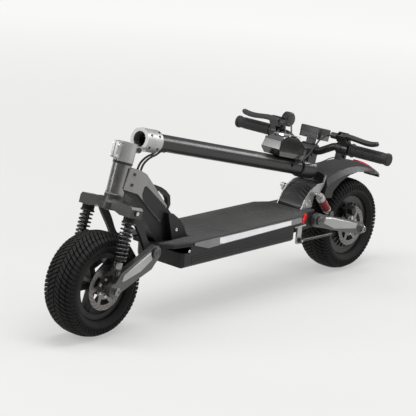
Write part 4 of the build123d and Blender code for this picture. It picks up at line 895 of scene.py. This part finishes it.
def box_loops(centre, half, corner, depth_steps):
    """Rounded rectangles for a box that faces along X of the stem's frame."""
    loops = []
    for x, inset in depth_steps:
        loop = []
        for cy, cz, start in ((1, 1, 0), (-1, 1, 90), (-1, -1, 180), (1, -1, 270)):
            for k in range(5):
                turn = math.radians(start + 22.5 * k)
                y = cy * (half[0] - corner) + (corner - inset) * math.cos(turn)
                z = cz * (half[1] - corner) + (corner - inset) * math.sin(turn)
                loop.append(stem_point(x, centre[0] + y, centre[1] + z))
        loops.append(loop)
    return loops


DISPLAY_AT = (0, BAR_AT + 10)
LAMP_AT = (0, 639)
screen = bmesh.new()
loft(screen, box_loops(DISPLAY_AT, (33, 21), 6, ((124.6, 0), (125.8, 0.4), (126.0, 1.0))), False, True)
piece("display_screen", as_mesh(screen), display_glass, "stem", 30)
display_rim = bmesh.new()
rim_steps = ((106, 0), (122.4, 0), (124.8, 1.2), (125.6, 2.6), (125.0, 4.4))
loft(display_rim, box_loops(DISPLAY_AT, (39.4, 27.4), 9, rim_steps))
piece("display_rim", as_mesh(display_rim), dark_plastic, "stem", 30)

lamp_bezel = bmesh.new()
bezel_steps = ((82.5, 0), (86.6, 0.4), (87.4, 1.6), (86.6, 3.2), (84.4, 4.2))
loft(lamp_bezel, box_loops(LAMP_AT, (27, 39), 15, bezel_steps))
piece("lamp_bezel", as_mesh(lamp_bezel), lamp_chrome, "stem", 30)
reflector = bmesh.new()
bowl = ((12.5, 0.6), (12.5, 1.8), (11.1, 2.2), (9.1, 0.8), (5.2, 0.2), (4.8, 1.6), (3.0, 2.8), (0.6, 3.2))
for z in (624, 652):
    place = frame_at(stem_point(85.2, 0, z), stem_x, stem_z)
    lathe(reflector, [(r * MM, h * MM) for r, h in bowl], 40, place)
piece("lamp_reflectors", as_mesh(reflector), lamp_chrome, "stem", 30)

heads("bar_clamp_bolts", [(local(stem, (57.6, side * 15, BAR_AT + z), (1, 0, 0)), 3.4, 3.0)
                          for side in SIDES for z in (-13, 13)], satin_black, "stem")
heads("button_face", [(local(stem, (GRIP_FORWARD - 24, 124.6, BAR_AT + 10), (0, 1, 0)), 3.2, 0.8)],
      spring_red, "button")
heads("kick_bolts", [(facing((at_x(x), side * 0.0459, z * MM), (0, side, 0)), 4.0, 2.2)
                     for side in SIDES for x, z in ((214, 246), (232, 240))], bright_steel, "frame")
heads("foot_bolts", [(facing((at_x(798), side * 0.0449, 0.254), (0, side, 0)), 4.6, 2.6) for side in SIDES],
      bright_steel, "frame")
heads("rail_bolts", [(facing((at_x(788), side * 0.0879, 0.203), (0, side, 0)), 4.2, 2.4) for side in SIDES],
      bright_steel, "frame")


# ---- leads between the neck and the stem ----------------------------------------------------------
def tube(points, radius):
    """A round lead along a smooth line of points, in metres."""
    curve = bpy.data.curves.new("lead", "CURVE")
    curve.dimensions = "3D"
    curve.bevel_depth = radius
    curve.bevel_resolution = 3
    curve.resolution_u = 8
    curve.use_fill_caps = True
    line = curve.splines.new("NURBS")
    line.points.add(len(points) - 1)
    for spot, at in zip(line.points, points):
        spot.co = (*at, 1)
    line.order_u = 3
    line.use_endpoint_u = True
    return mesh_of(curve)


lead_route = [neck_at(*at) for at in ((162.4, 244.5), (145.4, 235.5), (122.4, 232), (101.4, 222),
                                      (87.4, 207), (84.4, 188))]


def lead_bundle(points):
    """Both leads along a run of (X, Z) points."""
    shape = bmesh.new()
    for y in (-6, 6):
        shape.from_mesh(tube([(x, y * MM, z) for x, z in side_outline(points)], 0.003))
    return plain_mesh(shape)


meeting = [(lead_route[2][k] + lead_route[3][k]) / 2 for k in (0, 1)]
lower = piece("leads_lower", lead_bundle([meeting] + lead_route[3:]), cable_black, "frame",
              60)
upper = piece("leads_upper", lead_bundle(lead_route[:3] + [meeting]), cable_black, "stem",
              60)
for lead, bodies, start, end in ((lower, ("frame", "fork"), lead_route[4], meeting),
                                 (upper, ("fork", "stem"), meeting, lead_route[0])):
    lead.parent = None
    lead.matrix_world = Matrix()
    del lead["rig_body"]
    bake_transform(lead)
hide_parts("neck_cables")

GROMMET_AT = 105
oval = [(10 * x, 19 * y) for x, y, z in circle(1, 0, 32)]
grommet = bmesh.new()
loft(grommet, [[stem_point(x, y * share, GROMMET_AT + z * share) for y, z in oval] for x, share in
               ((-19, 1.0), (-23.6, 1.0), (-24.4, 0.92), (-24.4, 0.62), (-21.0, 0.55))], False, True)
piece("stem_grommet", as_mesh(grommet), dark_plastic, "stem", 30)

# ---- hoses and leads at the bar -------------------------------------------------------------------
thin_leads = bmesh.new()
BAR_ROUTES = (
    ((62, 118, 764), (52, 96, 742), (34, 84, 722), (22, 66, 708), (10, 30, 700)),
    ((62, -146, 764), (48, -122, 744), (30, -92, 716), (20, -60, 704), (10, -30, 700)),
    ((124, -96, 740), (112, -76, 716), (84, -58, 706), (48, -46, 700), (14, -30, 694)),
)
for route in BAR_ROUTES:
    thin_leads.from_mesh(tube([stem_point(*at) for at in route], 0.0016))
piece("bar_leads", plain_mesh(thin_leads), cable_black, "stem", 60)


def squashed(name):
    """Gives a coil a mesh of its own."""
    coil = nodes[name]
    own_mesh(coil)


squashed("front_springs")
squashed("rear_springs")

# ---- studio ---------------------------------------------------------------------------------------
floor_mesh = bpy.data.meshes.new("floor")
floor_mesh.from_pydata([(-40, -40, 0), (40, -40, 0), (40, 40, 0), (-40, 40, 0)], [], [(0, 1, 2, 3)])
floor = bpy.data.objects.new("floor", floor_mesh)
bpy.context.scene.collection.objects.link(floor)
paper = finish("studio_floor", (0.26, 0.26, 0.2575), 0.9, mottle=0.004, shine=0.1)
paper_nodes = paper.node_tree.nodes
paper_link = paper.node_tree.links.new
paper_shader = paper_nodes["Principled BSDF"]
coords = paper_nodes.new("ShaderNodeTexCoord")
far = paper_nodes.new("ShaderNodeVectorMath")
far.operation = "LENGTH"
glow = paper_nodes.new("ShaderNodeMapRange")
for name, value in (("From Min", 0.8), ("From Max", 5.0), ("To Min", 0.42), ("To Max", 0.76)):
    glow.inputs[name].default_value = value
paper_link(coords.outputs["Object"], far.inputs[0])
paper_link(far.outputs["Value"], glow.inputs["Value"])
paper_link(glow.outputs["Result"], paper_shader.inputs["Emission Strength"])
paper_shader.inputs["Emission Color"].default_value = (1.0, 1.0, 0.985, 1)
floor_mesh.materials.append(paper)

world = bpy.data.worlds.new("studio")
world.use_nodes = True
sky = world.node_tree
direction = sky.nodes.new("ShaderNodeTexCoord")
height = sky.nodes.new("ShaderNodeSeparateXYZ")
dome = sky.nodes.new("ShaderNodeValToRGB")
dome.color_ramp.elements[0].color = (0.16, 0.16, 0.165, 1)
dome.color_ramp.elements[1].color = (1.0, 1.0, 1.0, 1)
dome.color_ramp.elements[1].position = 0.9
middle_stop = dome.color_ramp.elements.new(0.35)
middle_stop.color = (0.30, 0.30, 0.305, 1)
rays = sky.nodes.new("ShaderNodeLightPath")
pick = sky.nodes.new("ShaderNodeMix")
pick.data_type = "RGBA"
pick.inputs["B"].default_value = (0.90, 0.905, 0.90, 1)
for output, target in ((direction.outputs["Generated"], height.inputs["Vector"]),
                       (height.outputs["Z"], dome.inputs["Fac"]),
                       (rays.outputs["Is Camera Ray"], pick.inputs["Factor"]),
                       (dome.outputs["Color"], pick.inputs["A"]),
                       (pick.outputs["Result"], sky.nodes["Background"].inputs["Color"])):
    sky.links.new(output, target)
sky.nodes["Background"].inputs["Strength"].default_value = 0.85
bpy.context.scene.world = world
bpy.context.scene.view_settings.view_transform = "Standard"


def softbox(name, at, target, size, power):
    """A rectangular lamp that looks at a target."""
    light = bpy.data.lights.new(name, "AREA")
    light.shape = "RECTANGLE"
    light.size, light.size_y = size
    light.energy = power
    lamp = bpy.data.objects.new(name, light)
    lamp.location = at
    lamp.rotation_euler = (Vector(target) - Vector(at)).to_track_quat("-Z", "Y").to_euler()
    bpy.context.scene.collection.objects.link(lamp)


softbox("overhead", (0.3, 0.2, 3.0), (0, 0, 0.2), (2.6, 1.3), 84)
softbox("key", (2.8, -1.8, 2.0), (0.1, 0, 0.3), (1.2, 1.8), 52)
softbox("side", (-1.8, 3.2, 1.9), (0, 0, 0.3), (1.2, 1.6), 30)
softbox("back", (-3.3, 1.2, 1.75), (0, 0, 0.4), (1.6, 0.8), 42)

CAMERA_AT = Vector((3.6195, 2.9671, 1.5051))
CAMERA_AIM = Vector((0.101, 0.0, 0.277))
CAMERA_ROLL = math.radians(4.63)
camera = bpy.data.objects.new("camera", bpy.data.cameras.new("camera"))
camera.data.lens = 148.9
camera.data.sensor_width = 36
forward = (CAMERA_AIM - CAMERA_AT).normalized()
level = forward.cross(Vector((0, 0, 1))).normalized()
upward = level.cross(forward)
right = level * math.cos(CAMERA_ROLL) + upward * math.sin(CAMERA_ROLL)
camera.matrix_world = frame_at(CAMERA_AT, -forward, right)
bpy.context.scene.collection.objects.link(camera)
bpy.context.scene.camera = camera
